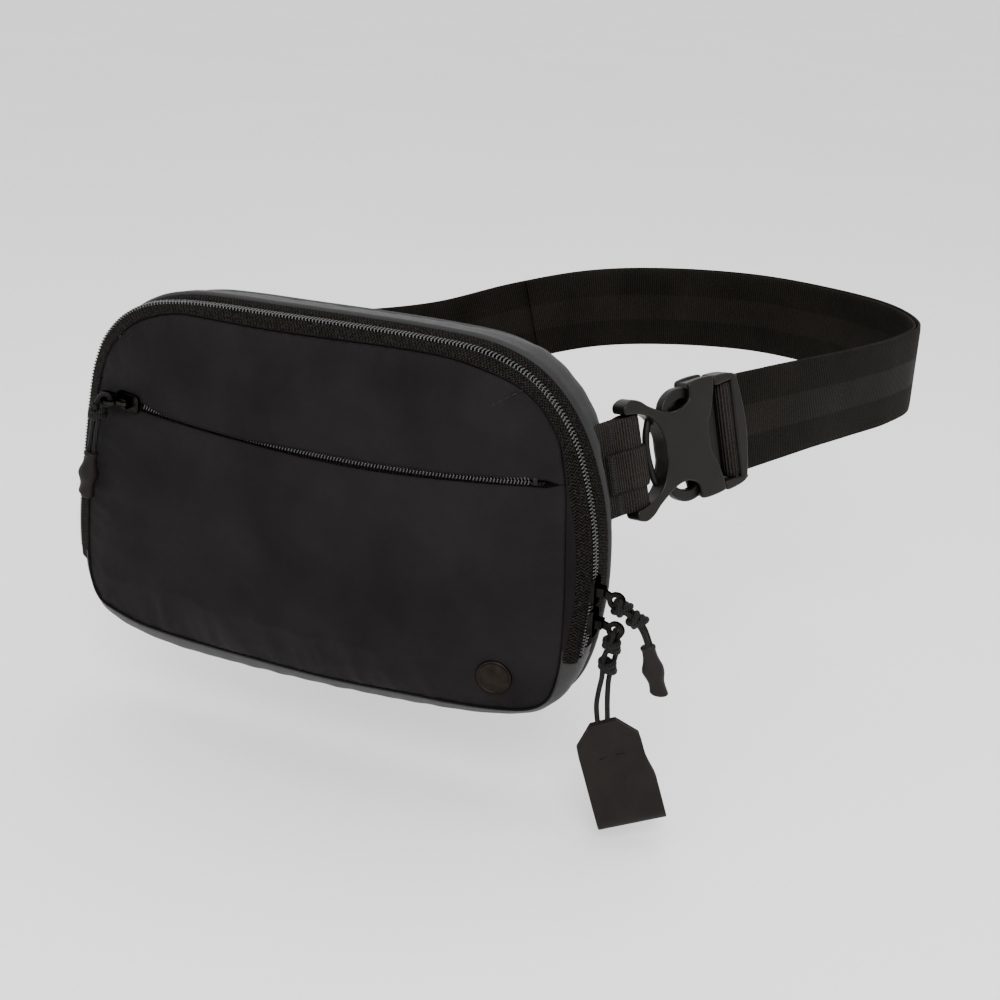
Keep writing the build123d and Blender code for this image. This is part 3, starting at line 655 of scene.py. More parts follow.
def front_y(x, z):
    """The front's surface: it rolls up from its seam, then follows the gentle crown."""
    shape = np.shape(x)
    points = np.column_stack([np.ravel(x), np.ravel(z)])
    gap = np.concatenate([np.linalg.norm(part[:, None] - SEAM[None], axis=2).min(axis=1)
                          for part in np.array_split(points, 40)])
    gap = gap.reshape(shape)
    crown = np.maximum(SEAM_Y - crown_y(x) - 1.2, 0)
    return SEAM_Y - crown * (1 - np.exp(-gap / 9)) - 1.5 * (1 - np.exp(-gap / 2.2))


def pocket_arc():
    """Centre, axis, radius and starting direction of the pocket zip's arc."""
    p, q, r = [np.array((x, crown_y(x), z)) for x, z in POCKET_X_Z]
    a = q - p
    b = r - p
    axis = np.cross(a, b)
    to_centre = (np.cross(axis, a) * b.dot(b) + np.cross(b, axis) * a.dot(a)) / (2 * axis.dot(axis))
    return p + to_centre, unit(axis), np.linalg.norm(to_centre), unit(-to_centre)


ARC_CENTRE, ARC_AXIS, ARC_RADIUS, ARC_START = pocket_arc()
ARC_LEAN = np.arctan2(-ARC_AXIS[1], ARC_AXIS[2])


def on_arc(degrees, out=0.0, up=0.0, inset=POCKET_TAPE_INSET):
    """Points along the pocket zip, out from its tape and up the front."""
    turn = np.radians(np.asarray(degrees, float))[..., None]
    radial = ARC_START * np.cos(turn) + np.cross(ARC_AXIS, ARC_START) * np.sin(turn)
    outward = radial * cos(ARC_LEAN) + ARC_AXIS * sin(ARC_LEAN)
    upward = ARC_AXIS * cos(ARC_LEAN) - radial * sin(ARC_LEAN)
    out = np.asarray(out, float)[..., None]
    up = np.asarray(up, float)[..., None]
    return ARC_CENTRE + radial * (ARC_RADIUS - inset) + outward * out + upward * up


def pocket_line(count, lift):
    """The (x, z) line of one lip of the pocket, from the left seam to the right seam."""
    fine = on_arc(np.linspace(-2.6, 21.0, 400), inset=0.0)[:, [0, 2]]
    inside = (fine[:, 0] > SEAM[ZIP_LEFT, 0]) & (fine[:, 0] < SEAM[ZIP_RIGHT, 0])
    line = np.vstack([SEAM[ZIP_LEFT], fine[inside], SEAM[ZIP_RIGHT]])
    line = spread(line, count)
    rise = lift(line[:, 0]) * ease(line[:, 0] - SEAM[ZIP_LEFT, 0], 1, 9)
    rise = rise * ease(SEAM[ZIP_RIGHT, 0] - line[:, 0], 1, 7)
    line[:, 1] += rise
    return line


def upper_lip(x):
    """The upper lip droops over the teeth left of the middle and stands clear of them elsewhere."""
    drooping = ease(x, -66, -58) * (1 - ease(x, -22, 6))
    return 1.5 - 1.5 * drooping


def lower_lip(x):
    return -1.5 - 0.3 * np.sin(np.asarray(x) / 17.0)


ZIP_LEFT = nearest(SEAM, -93.2, 38.6)
ZIP_RIGHT = nearest(SEAM, 103.6, 33.6)
LOW_LEFT = nearest(SEAM, -101.5, -53.6)
LOW_RIGHT = nearest(SEAM, 97.6, -56.0)
TOP_LEFT = nearest(SEAM, -80.5, 62.8)
TOP_RIGHT = nearest(SEAM, 91.0, 62.5)


def puckers(rows, flat):
    """Small gathers that run in from the seams, deepest beside them and at the corners."""
    gap = np.linalg.norm(flat.reshape(-1, 1, 2) - SEAM[None, ::2], axis=2)
    closest = gap.argmin(axis=1).reshape(flat.shape[:2]) * 2
    gap = gap.min(axis=1).reshape(flat.shape[:2])
    along = AROUND[closest] * len(SEAM) / LOOP_COUNT
    fine = ripple(along, 5, 6, (5, 13)) * np.exp(-gap / 6) * (1 - np.exp(-gap / 1.5)) * 0.35
    broad = ripple(along, 9, 5, (17, 42)) * np.exp(-gap / 20) * (1 - np.exp(-gap / 4)) * 0.65
    rows[..., 1] += fine + broad
    return rows


def front_rows(top, bottom, left, right, seed):
    flat = coons(top, bottom, left, right)
    rows = at_depth(flat, front_y(flat[..., 0], flat[..., 1]))
    sag = ripple(flat[..., 0] + 0.35 * flat[..., 1], seed, 4, (60, 130)) * 0.35
    rows[1:-1, 1:-1, 1] += sag[1:-1, 1:-1]
    rows = puckers(rows, flat)
    from_badge = np.hypot(rows[..., 0] - BADGE_X_Z[0], rows[..., 2] - BADGE_X_Z[1])
    free = 1 - np.exp(-(from_badge / 15) ** 2)
    return rows + (settle(rows) - rows) * free[..., None]


def make_front_panels():
    across = 150
    top = pocket_line(across, lower_lip)
    bottom = loop_part(SEAM, LOW_LEFT, LOW_RIGHT, across)
    left = loop_part(SEAM, ZIP_LEFT, LOW_LEFT, 74)
    right = loop_part(SEAM, LOW_RIGHT, ZIP_RIGHT, 74)[::-1]
    rows = front_rows(top, bottom, left, right, 3)
    lower = grid_piece("pocket_panel_cloth", rows, NYLON, LINING, flip=True)
    top = loop_part(SEAM, TOP_RIGHT, TOP_LEFT, across)[::-1]
    left = loop_part(SEAM, TOP_LEFT, ZIP_LEFT, 34)
    right = loop_part(SEAM, ZIP_RIGHT, TOP_RIGHT, 34)[::-1]
    rows_up = front_rows(top, pocket_line(across, upper_lip), left, right, 4)
    upper = grid_piece("upper_panel_cloth", rows_up, NYLON, LINING, flip=True)
    for piece, node in ((lower, "front_pocket_panel"), (upper, "front_upper_panel")):
        thicken(piece, 0.9, 1)
        place(piece, "front_shell", "shell_nylon", node)
    make_bar_tack()


def make_bar_tack():
    """The short slanting line of stitches on the upper panel."""
    flat = np.linspace((66.5, 54.0), (87.0, 66.4), 20)
    path = at_depth(flat, front_y(flat[:, 0], flat[:, 1]) - 0.25)
    outward = np.tile((0.05, -1, 0.02), (20, 1))
    sew("upper_panel_stitches", path, outward, "front_shell", "shell_nylon", 1.9, 0.8, 0.8)


# ---- zip teeth and tapes ----
def coil_path(line, outward, sideways, pitch, high, wide):
    """A flattened spiral of nylon along a line, one turn every pitch."""
    turns = int(lengths(line)[-1] / pitch)
    fine = spread(np.hstack([line, outward, sideways]), turns * 10 + 1)
    angle = np.arange(len(fine)) * 2 * pi / 10
    return (fine[:, :3] + unit(fine[:, 3:6]) * (high * np.sin(angle))[:, None]
            + unit(fine[:, 6:]) * (wide * np.cos(angle))[:, None])


def make_main_coils():
    """Both rows of the main zip's teeth, each a spiral along its tape's edge."""
    run = run_of(RIGHT_TAPE_END + 1, LEFT_TAPE_END - 1)
    for name, body, facing in (("main_coil_back", "back_shell", 1), ("main_coil_front", "front_shell", -1)):
        parted = ease(BODY[run, 1], CHAIN_RIGHT_Z - 14, CHAIN_RIGHT_Z) * (BODY[run, 0] > 0)
        parting = np.where(BODY[run, 0] > 0, 1 - parted, 0) * ease(BODY[run, 1], TAPE_END_Z, TAPE_END_Z + 12)
        line = ring(0.6 + 0.7 * ease(-BODY[:, 0], 55, 75), CHAIN_Y + 1.05 * facing, run)
        line[:, 1] += facing * 0.8 * parting
        sideways = np.tile((0, facing, 0), (len(run), 1))
        path = coil_path(line, at_depth(OUT[run], 0), sideways, TOOTH_PITCH, 0.7, 0.95)
        piece = grid_piece(f"{name}_teeth", tube_rows(path, 0.36, 6), COIL, closed=True)
        place(piece, body, "zip_coil", name)


def make_end_stops():
    """A small metal crimp across the teeth at each end of the main zip."""
    ends = [RIGHT_TAPE_END, LEFT_TAPE_END]
    ways = np.array([(0, 1.0, 0)] * 2)
    crimps = bead_points(ring(0.9, CHAIN_Y, ends), ways, at_depth(OUT[ends], 0), 3.8, 1.7, 1.3)
    place(bead_piece("zip_end_crimps", crimps, GUNMETAL), "back_shell", "slider_metal", "zip_end_stops")


def band_rows(run, shares, low, high):
    """Rows of the front band, from the teeth (share 0) to the front panel's seam (share 1)."""
    rows = []
    gap = SEAM_GAP[run]
    for share in shares:
        at = low + (high - low) * share
        bulge = (0.1 + 0.8 * RIGHT_SIDE[run]) * np.sin(pi * at)
        offset = 0.4 - (gap + 0.4) * at + bulge
        y = CHAIN_Y - TAPE_START + (SEAM_Y - CHAIN_Y + TAPE_START) * at - 0.35 * bulge
        rows.append(at_depth(BODY[run] + OUT[run] * offset[:, None], y))
    return np.array(rows)


def tape_share(run):
    """The share of the front band that is zip tape; the rest is a strip of nylon."""
    width = np.hypot(SEAM_GAP[run], SEAM_Y - CHAIN_Y + TAPE_START)
    return np.clip(TAPE_WIDTH / width, 0, 1) * RIGHT_SIDE[run] + (1 - RIGHT_SIDE[run]) * 0.97


def make_front_band():
    run = ZIP_RUN
    tape = tape_share(run)
    shares = np.linspace(0, 1, 9)
    knit = grid_piece("front_tape_knit", band_rows(run, shares, 0, tape), KNIT, flip=True)
    place(thicken(knit, 0.6), "front_shell", "zip_tape", "main_tape_front")
    strip_rows = band_rows(run, shares, tape - 0.02, 1)
    swell = 0.55 * np.sin(pi * np.clip(shares * 1.15, 0, 1))[:, None] * RIGHT_SIDE[run]
    strip_rows += swell[..., None] * at_depth(OUT[run], 0)
    strip = grid_piece("front_edge_strip", strip_rows, SHADED_GUSSET_NYLON, flip=True)
    place(thicken(strip, 0.6), "front_shell", "shell_nylon")
    edge = band_rows(run, [0.94], 0, tape)[0]
    outward = at_depth(OUT[run], -0.7)
    edge = edge + unit(outward) * 0.25
    sew("front_tape_stitches", edge, outward, "front_shell", "zip_tape")


def make_back_tape():
    run = ZIP_RUN
    first_y = CHAIN_Y + TAPE_START
    rows = []
    for share in np.linspace(0, 1, 9):
        offset = 0.4 + 0.9 * share + 0.7 * sin(pi * share)
        rows.append(ring(offset, first_y + (TAPE_SEAM_Y - first_y) * share, run))
    piece = grid_piece("back_tape_knit", rows, KNIT)
    place(thicken(piece, 0.6), "back_shell", "zip_tape", "main_tape_back")
    path = ring(1.95, TAPE_SEAM_Y - 1.6, run)
    sew("back_tape_stitches", path, at_depth(OUT[run], 0), "back_shell", "zip_tape")


# ---- gussets and back ----
def gusset_wobble(scale, seed):
    return ripple(AROUND, seed, 7, (9, 40)) * scale


def make_back_gusset():
    """The smooth side wall from the tape's seam, over a raised edge, to the back's seam."""
    profile = ((0.9, TAPE_SEAM_Y - 0.6, 0), (1.7, TAPE_SEAM_Y - 0.3, 0), (2.0, TAPE_SEAM_Y + 0.8, 0.1),
               (1.4, TAPE_SEAM_Y + 2.0, 0.4), (1.0, -14.3, 0.7), (0.5, -11.5, 1), (-0.2, -8.5, 1),
               (-1.0, -5.8, 0.8), (-2.0, -3.4, 0.4))
    fuller = 4.6 * np.clip(OUT[:, 0], 0, 1) * np.clip(OUT[:, 1], 0, 1) - 1.6 * RIGHT_SIDE
    rows = [ring(offset + (gusset_wobble(0.3, 31) + fuller) * loose, y) for offset, y, loose in profile]
    rows.append(ring(-BACK_GAP + 0.9, -1.3))
    rows.append(ring(-BACK_GAP, -0.4))
    piece = grid_piece("back_gusset_cloth", rows, SHADED_GUSSET_NYLON, LINING, closed=True)
    piece.modifiers.new("smooth", "SUBSURF").render_levels = 1
    thicken(piece, 1.2, 1)
    place(piece, "back_shell", "shell_nylon", "back_gusset")


def make_lower_gusset():
    """The gusset under the zip's ends."""
    run = LOWER_RUN
    gap = SEAM_GAP[run]
    wobble = gusset_wobble(0.5, 37)[run]
    rows = []
    for share in np.linspace(0, 1, 15):
        swell = 1.3 * sin(pi * min(1, share * 1.1)) + 0.5 * wobble * sin(pi * share)
        offset = -gap * (1 - share) ** 1.8 + 1.2 * share + swell
        y = SEAM_Y + (TAPE_BACK_Y - 0.4 - SEAM_Y) * share
        rows.append(at_depth(BODY[run] + OUT[run] * offset[:, None], y))
    piece = grid_piece("lower_gusset_cloth", rows, SHADED_GUSSET_NYLON, LINING)
    thicken(piece, 1.0, 1)
    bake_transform(piece)
    finish(piece, "shell_nylon", "front_gusset")


def loop_grid(loop, across, down):
    """A grid over the inside of a closed (x, z) loop of the bag."""
    low_left = nearest(loop, -104, -60)
    low_right = nearest(loop, 104, -60)
    top_right = nearest(loop, 95, 66)
    top_left = nearest(loop, -88, 68)
    top = loop_part(loop, top_right, top_left, across)[::-1]
    bottom = loop_part(loop, low_left, low_right, across)
    left = loop_part(loop, top_left, low_left, down)
    right = loop_part(loop, low_right, top_right, down)[::-1]
    return coons(top, bottom, left, right)


def loop_gap(flat, loop):
    """How far each point of a grid is from a closed (x, z) loop."""
    gaps = np.linalg.norm(flat.reshape(-1, 1, 2) - loop[None, ::2], axis=2)
    return gaps.min(axis=1).reshape(flat.shape[:2])


def make_back_panel():
    """A thin padded back of airy mesh, quilted by channels inside its edge."""
    loop = BODY - OUT * BACK_GAP[:, None]
    flat = loop_grid(loop, 120, 80)
    gap = loop_gap(flat, loop)
    pad = 1.9 * (1 - np.exp(-gap / 3))
    channels = np.exp(-((gap - 14) / 1.3) ** 2)
    for x in (-34, 34):
        channels = np.maximum(channels, np.exp(-((flat[..., 0] - x) / 1.3) ** 2) * (gap > 14))
    piece = grid_piece("back_pad", at_depth(flat, pad - 0.5 - 1.5 * channels), MESH_BACK, LINING)
    thicken(piece, 2.4, 1)
    place(piece, "back_shell", "mesh_back", "back_panel")
    edge = ring(-BACK_GAP - 2.0, 0.55)
    edge = np.vstack([edge, edge[:1]])
    sew("back_edge_stitches", edge, np.tile((0, 1, 0), (len(edge), 1)), "back_shell", "mesh_back")


def make_linings():
    """The cloth inside the bag: over its back, and behind the front pocket."""
    outer = BODY - OUT * (BACK_GAP + 2.0)[:, None]
    for name, loop, y, body, node in (
            ("back_lining_cloth", outer, -3.4, "back_shell", "back_lining"),
            ("pocket_lining_cloth", SEAM * 0.985, -33.4, "front_shell", "pocket_lining")):
        flat = loop_grid(loop, 90, 60)
        gap = loop_gap(flat, loop)
        folds = ripple(flat @ (0.8, 0.5), 12, 5, (25, 90)) * (1 - np.exp(-gap / 8))
        piece = grid_piece(name, at_depth(flat, y + 0.5 * folds), LINING)
        place(thicken(piece, 0.4), body, "lining", node)


# ---- pocket zip and badge ----
def make_pocket_zip():
    degrees = np.linspace(-1.0, POCKET_TEETH[1] + 0.6, 260)
    for name, low, high in (("pocket_tape_upper", 0.5, 4.6), ("pocket_tape_lower", -4.6, -0.5)):
        rows = [on_arc(degrees, out=0.1 * sin(pi * share), up=low + (high - low) * share)
                for share in np.linspace(0, 1, 5)]
        piece = grid_piece(f"{name}_knit", rows, KNIT, flip=True)
        place(thicken(piece, 0.5), "front_shell", "zip_tape", name)
    teeth = np.linspace(*POCKET_TEETH, 260)
    for number, side in enumerate((-1, 1)):
        line = on_arc(teeth, out=0.75, up=side * 0.85)
        outward = on_arc(teeth, out=1.0) - on_arc(teeth)
        upward = (on_arc(teeth, up=1.0) - on_arc(teeth)) * side
        path = coil_path(line, outward, upward, 1.25, 0.55, 0.8)
        piece = grid_piece(f"pocket_teeth_{number}", tube_rows(path, 0.33, 6), COIL, closed=True)
        place(piece, "front_shell", "zip_coil", *(["pocket_coil"] if number == 0 else []))


def lathe_rows(origin, axis, across, profile, around=48):
    """Rings of a turned form; profile is (distance along the axis, radius) in order."""
    axis = unit(axis)
    side = unit(np.cross(axis, across))
    other = np.cross(axis, side)
    turns = full_turn(around)
    ring_points = side * np.cos(turns)[:, None] + other * np.sin(turns)[:, None]
    return np.array([origin + axis * along + ring_points * radius for along, radius in profile])


def make_badge():
    """A plain round metal badge: a thin raised rim round a slightly domed face."""
    x, z = BADGE_X_Z
    origin = np.array((x, float(crown_y(x)), z))
    outward = unit((x / CROWN_RADIUS, -1.0, 0.0))
    profile = ((-0.6, 6.7), (0.3, BADGE_RADIUS), (0.9, 6.9), (1.25, 6.55), (1.15, 6.15), (0.85, 5.9),
               (0.8, 5.5), (1.0, 4.2), (1.1, 2.4), (1.15, 0.8), (1.15, 0.02))
    rows = lathe_rows(origin, outward, (0, 0, 1), profile)
    piece = grid_piece("badge_face", rows, BADGE, closed=True, flip=True)
    place(piece, "front_shell", "badge_metal", "badge_cap")


# ---- belt, tabs and buckle ----
def buckle_axes():
    level = cos(BUCKLE_SLOPE)
    along = np.array((cos(BUCKLE_YAW) * level, sin(BUCKLE_YAW) * level, sin(BUCKLE_SLOPE)))
    outward = np.array((sin(BUCKLE_YAW), -cos(BUCKLE_YAW), 0.0))
    upright = -np.cross(along, outward)
    up = upright * cos(BUCKLE_LEAN) - outward * sin(BUCKLE_LEAN)
    return along, up, np.cross(along, up)


BUCKLE_AXES = np.array(buckle_axes())


def in_buckle(u, v, w):
    """A point, or rows of points, given along, up and out of the buckle."""
    return BUCKLE_ORIGIN + np.stack(np.broadcast_arrays(u, v, w), axis=-1) @ BUCKLE_AXES


def strap_section(width, thick):
    """A webbing's cross-section as (up, through) points: thin rounded edges, even faces."""
    ups = np.linspace(-1, 1, 17) * (width / 2 - 0.25)
    half = np.full(17, thick / 2)
    half[[0, -1]] = thick * 0.36
    front = np.column_stack([ups, half])
    tips = ((width / 2, 0.0), (-width / 2, 0.0))
    back = np.column_stack([ups[::-1], -half[::-1]])
    return np.vstack([front, tips[:1], back, tips[1:]])


def strap_piece(name, path, ups, width, thick, material):
    """Webbing along a path: ups is the direction of its width at every point."""
    ahead = unit(np.gradient(path, axis=0))
    through = unit(np.cross(ups, ahead))
    section = strap_section(width, thick)
    rows = path[:, None] + ups[:, None] * section[None, :, :1] + through[:, None] * section[None, :, 1:]
    count = len(section)
    piece = grid_piece(name, rows, material, closed=True)
    reach = lengths(path)
    _, i, j = flat_faces(len(rows), count, True)
    u = np.stack([reach[i], reach[i], reach[i + 1], reach[i + 1]], axis=-1)
    heights = section[:, 0] + BELT_WIDTH / 2
    after = (j + 1) % count
    v = np.stack([heights[j], heights[after], heights[after], heights[j]], axis=-1)
    set_uv(piece, u, v)
    return piece


def belt_frame(count):
    """Points along the belt, its up directions, and its inward directions."""
    under_bar = in_buckle([64.0, 58.5], [0, 0], [-1.6, -1.8])
    lean = np.degrees(BUCKLE_LEAN)
    stations = BELT_LINE + [(*under_bar[0], lean), (*under_bar[1], lean)]
    line = smooth_line(stations, count)
    path = line[:, :3]
    ahead = unit(np.gradient(path, axis=0))
    right = unit(np.cross(ahead, (0, 0, 1)))
    upright = np.cross(right, ahead)
    lean = np.radians(line[:, 3:])
    return path, upright * np.cos(lean) + right * np.sin(lean), right * np.cos(lean) - upright * np.sin(lean)


def bend_belt(piece):
    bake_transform(piece)


def make_belt():
    count = 420
    path, ups, inward = belt_frame(count)
    sway = ripple(np.arange(count) * 1.5, 21, 4, (90, 260))[:, None] * 0.35
    ramp = ease(np.arange(count), 0, 40) * (1 - ease(np.arange(count), count - 60, count))
    path = path + inward * sway * ramp[:, None]
    belt = strap_piece("belt_webbing_outer", path, ups, BELT_WIDTH, BELT_THICK, WEBBING)
    bend_belt(belt)
    finish(belt, "webbing", "belt_far", "belt_near")
    first = int(count * TAIL_SHARE)
    last = count - 14
    layer = path[first:last] + inward[first:last] * TAIL_GAP
    tail = strap_piece("belt_webbing_tail", layer, ups[first:last], BELT_WIDTH - 0.8, BELT_THICK, WEBBING)
    bend_belt(tail)
    finish(tail, "webbing", "belt_tail_far", "belt_tail_near")
    make_belt_roll()


def make_belt_roll():
    """The belt's turn round the male half's bar, and its short way back under the end bar."""
    angles = np.radians(np.linspace(-90, -265, 30))
    radius = 2.6
    us = np.concatenate([[57.0, 54.4], BELT_BAR_U + radius * np.cos(angles), [55.2, 58.0]])
    ws = np.concatenate([[-2.0, -2.3], 0.3 + radius * np.sin(angles), [2.1, 0.3]])
    path = smooth_line(in_buckle(us, 0, ws), 60)
    ups = np.tile(BUCKLE_AXES[1], (len(path), 1))
    roll = strap_piece("belt_roll", path, ups, BELT_WIDTH - 1.6, BELT_THICK - 0.2, TAB_WEB)
    place(roll, "buckle_plug", "webbing")


def zigzag_rows(u_low, u_high, v, w, teeth, width):
    """A bar tack: a dense zigzag of thread across a webbing, in the buckle's frame."""
    us = np.where(np.arange(teeth) % 2 == 0, u_low, u_high)
    vs = v + np.linspace(-width / 2, width / 2, teeth)
    points = in_buckle(us, vs, w)
    middle = (points[1:] + points[:-1]) / 2
    outward = np.tile(BUCKLE_AXES[2] * np.sign(w), (len(middle), 1))
    return bead_points(middle, points[1:] - points[:-1], outward, abs(u_high - u_low) + 0.9, 0.55, 0.45)


def wrapped_path(start, lift, radius):
    """A webbing's way along the tab, round the buckle's bar, and back under itself."""
    turn = np.radians(np.linspace(90, -90, 24))
    us = np.linspace(start, TAB_BAR_U, 18)
    ws = lift + (radius - lift) * ease(us, -4.5, 1.5)
    return in_buckle(np.concatenate([us, TAB_BAR_U + radius * np.cos(turn), us[::-1]]), 0,
                     np.concatenate([ws, radius * np.sin(turn), -ws[::-1]]))


def make_tabs():
    path = wrapped_path(-15.5, 0.85, 2.75)
    ups = np.tile(BUCKLE_AXES[1], (len(path), 1))
    tab = strap_piece("right_tab_webbing", path, ups, TAB_WIDTH, 1.2, TAB_WEB)
    place(tab, "back_shell", "webbing", "right_tab")
    path = wrapped_path(-10.5, 2.1, 4.0) - BUCKLE_AXES[1] * 1.6
    ups = np.tile(BUCKLE_AXES[1], (len(path), 1))
    loop = strap_piece("right_loop_webbing", path, ups, LOOP_WIDTH, 1.2, TAB_WEB)
    place(loop, "back_shell", "webbing", "right_loop")
    tacks = [zigzag_rows(-7.4, -5.4, side * 13.4, 1.5, 18, 7.5) for side in (-1, 1)]
    tacks.append(zigzag_rows(-9.6, -7.8, -1.6, 2.8, 26, 13))
    place(bead_piece("tab_bar_tacks", np.concatenate(tacks), THREAD), "back_shell", "webbing")
    path = np.linspace((-106.8, -14.2, 26), (-113.6, 4.0, 25), 40)
    ups = np.tile((0.0, 0.0, 1.0), (40, 1))
    left = strap_piece("left_tab_webbing", path, ups, TAB_WIDTH, BELT_THICK, TAB_WEB)
    place(left, "back_shell", "webbing", "left_tab")


# ---- buckle ----
def mirrored(points, centre=0.0):
    """A closed outline from its upper half, mirrored about v = centre."""
    upper = np.array(points, float) + (0, centre)
    return np.vstack([upper, upper[::-1] * (1, -1) + (0, 2 * centre)])


def plate_points(loops, low, high, bevel, count=180):
    """A rounded plate between two depths w, as a mesh in (u, v, w); the first loop is its edge."""
    curve = bpy.data.curves.new("plate", "CURVE")
    curve.dimensions = "2D"
    curve.fill_mode = "BOTH"
    curve.extrude = (high - low) / 2 - bevel
    curve.bevel_depth = bevel
    curve.bevel_resolution = 3
    curve.offset = -bevel
    for loop in loops:
        line = smooth_line(loop, count, closed=True)
        spline = curve.splines.new("POLY")
        spline.points.add(len(line) - 1)
        for point, (u, v) in zip(spline.points, line):
            point.co = (u, v, 0, 1)
        spline.use_cyclic_u = True
    holder = bpy.data.objects.new("plate", curve)
    mesh = bpy.data.meshes.new_from_object(holder)
    mesh.transform(Matrix.Translation((0, 0, (low + high) / 2)))
    bpy.data.objects.remove(holder)
    bpy.data.curves.remove(curve)
    return mesh


def moulded_piece(name, meshes, *tubes):
    """Joins plates and tubes, given in the buckle's own frame, into one plastic part."""
    built = bmesh.new()
    for mesh in meshes:
        built.from_mesh(mesh)
        bpy.data.meshes.remove(mesh)
    for rows in tubes:
        corners = [[built.verts.new(point) for point in row] for row in rows]
        for row, following in zip(corners, corners[1:]):
            for k in range(len(row)):
                after = (k + 1) % len(row)
                built.faces.new((row[k], row[after], following[after], following[k]))
        built.faces.new(corners[0][::-1])
        built.faces.new(corners[-1])
    turn = Matrix(BUCKLE_AXES.T.tolist()).to_4x4()
    built.transform(Matrix.Scale(MM, 4) @ Matrix.Translation(Vector(BUCKLE_ORIGIN)) @ turn)
    mesh = bpy.data.meshes.new(name)
    built.to_mesh(mesh)
    built.free()
    mesh.shade_smooth()
    mesh.set_sharp_from_angle(angle=radians(40))
    mesh.materials.append(PLASTIC)
    piece = add_object(name, mesh)
    normals = piece.modifiers.new("normals", "WEIGHTED_NORMAL")
    normals.keep_sharp = True
    return piece


def bar_rows(points, radius):
    """A round bar through points of (u, v, w)."""
    return tube_rows(smooth_line(points, 24), radius, 16, (0, 0, 1))


def make_buckle_shell():
    """The female half: two plates with room between for the prongs, a bar and a curved rib."""
    edge = mirrored(SHELL_INNER + SHELL_OUTER, SHELL_CENTRE_V)
    arm_ends = [(u, v) for u, v in SHELL_OUTER if u < 23] + [(22.4, 9.0), (21.4, 3.0)]
    arms = mirrored(SHELL_INNER + arm_ends, SHELL_CENTRE_V)
    back_outer = [(u, v) for u, v in SHELL_OUTER if u > 17]
    back = mirrored([(17.6, 1.0), (17.6, 4.5), (16.2, 9.0), (14.6, 13.0)] + back_outer, SHELL_CENTRE_V)
    wall = np.array([(32.4, 20.0), (32.4, 21.6), (34.0, 22.2), (43.6, 22.0), (44.4, 21.0), (44.0, 20.0)])
    wall += (0, SHELL_CENTRE_V)
    lower_wall = wall * (1, -1) + (0, 2 * SHELL_CENTRE_V)
    plates = [plate_points([edge], CHANNEL_HALF, SHELL_HALF, 0.7, 240),
              plate_points([back], -SHELL_HALF, -CHANNEL_HALF, 0.7, 240),
              plate_points([arms], -CHANNEL_HALF - 0.4, CHANNEL_HALF + 0.9, 0.5, 240),
              plate_points([wall], -CHANNEL_HALF - 0.9, CHANNEL_HALF + 0.9, 0.3, 60),
              plate_points([lower_wall], -CHANNEL_HALF - 0.9, CHANNEL_HALF + 0.9, 0.3, 60)]
    bar = bar_rows([(TAB_BAR_U, -20.0, 0), (TAB_BAR_U, 0, 0), (TAB_BAR_U, 20.6, 0)], 2.0)
    rib = bar_rows([(15.0, -13.5, -1), (12.9, -8, -1), (11.6, 0, -1), (12.0, 7, -1), (14.4, 13.5, -1)], 1.4)
    shell = moulded_piece("buckle_shell", plates, bar, rib)
    place(shell, "back_shell", "buckle_plastic", "buckle_female")


def make_buckle_plug():
    """The male half: side rails, a bar for the belt, a flat end bar and a tongue."""
    rail = [(45.8, 19.0), (45.8, 22.2), (49.0, 22.6), (54.5, 21.9), (57.4, 20.6), (57.6, 19.4), (52.0, 19.0)]
    end = mirrored([(54.0, 4.0), (54.1, 12.0), (54.2, 19.4), (55.6, 20.8), (57.2, 20.2), (58.4, 15.0),
                    (59.6, 6.0), (59.9, 1.0)])
    tongue = mirrored([(33.0, 5.6), (36.0, 6.6), (44.5, 14.6), (47.4, 15.0), (47.8, 8.0)])
    front = mirrored([(42.6, 3.0), (43.4, 9.0), (45.2, 17.0), (45.6, 21.4), (49.6, 21.4), (50.0, 12.0),
                      (50.0, 4.0)])
    plates = [plate_points([rail], -3.7, 4.0, 0.8, 60),
              plate_points([[(u, -v) for u, v in rail]], -3.7, 4.0, 0.8, 60),
              plate_points([end], 1.3, 4.1, 0.8),
              plate_points([tongue], -1.9, -0.2, 0.5),
              plate_points([front], -4.0, -1.6, 0.4)]
    bar = bar_rows([(BELT_BAR_U, -20.5, 0.3), (BELT_BAR_U, 0, 0.3), (BELT_BAR_U, 20.5, 0.3)], 1.7)
    place(moulded_piece("buckle_plug_frame", plates, bar), "buckle_plug", "buckle_plastic", "buckle_male")
    for name, node, side in (("upper_prong_bow", "prong_upper", 1), ("lower_prong_bow", "prong_lower", -1)):
        bow = [(u, side * v) for u, v in PRONG_EDGE]
        piece = moulded_piece(name, [plate_points([bow], -2.0, 2.0, 0.8)])
        place(piece, "upper_prong" if side == 1 else "lower_prong", "buckle_plastic", node)


# ---- cords, knots, toggles and the tag ----
def cord_points(route, sides, widths, eye, eye_side):
    """A cord loop's points: up one side of the pull, through its eye, and down the other."""
    route = np.array(route, float)
    offsets = np.array(sides) * np.array(widths)[:, None]
    turn = eye_side * TURN
    return np.vstack([route - offsets, eye - turn, eye + turn, (route + offsets)[::-1]])


def cord_curve(name, points):
    """A round cord as one open smooth curve."""
    curve = bpy.data.curves.new(name, "CURVE")
    curve.dimensions = "3D"
    curve.bevel_depth = CORD / 2 * MM
    curve.bevel_resolution = 4
    curve.resolution_u = 16
    spline = curve.splines.new("NURBS")
    spline.points.add(len(points) - 1)
    for control, point in zip(spline.points, points):
        control.co = (*(point * MM), 1.0)
    spline.order_u = 3
    spline.use_endpoint_u = True
    curve.materials.append(BRAID)
    return add_object(name, curve)


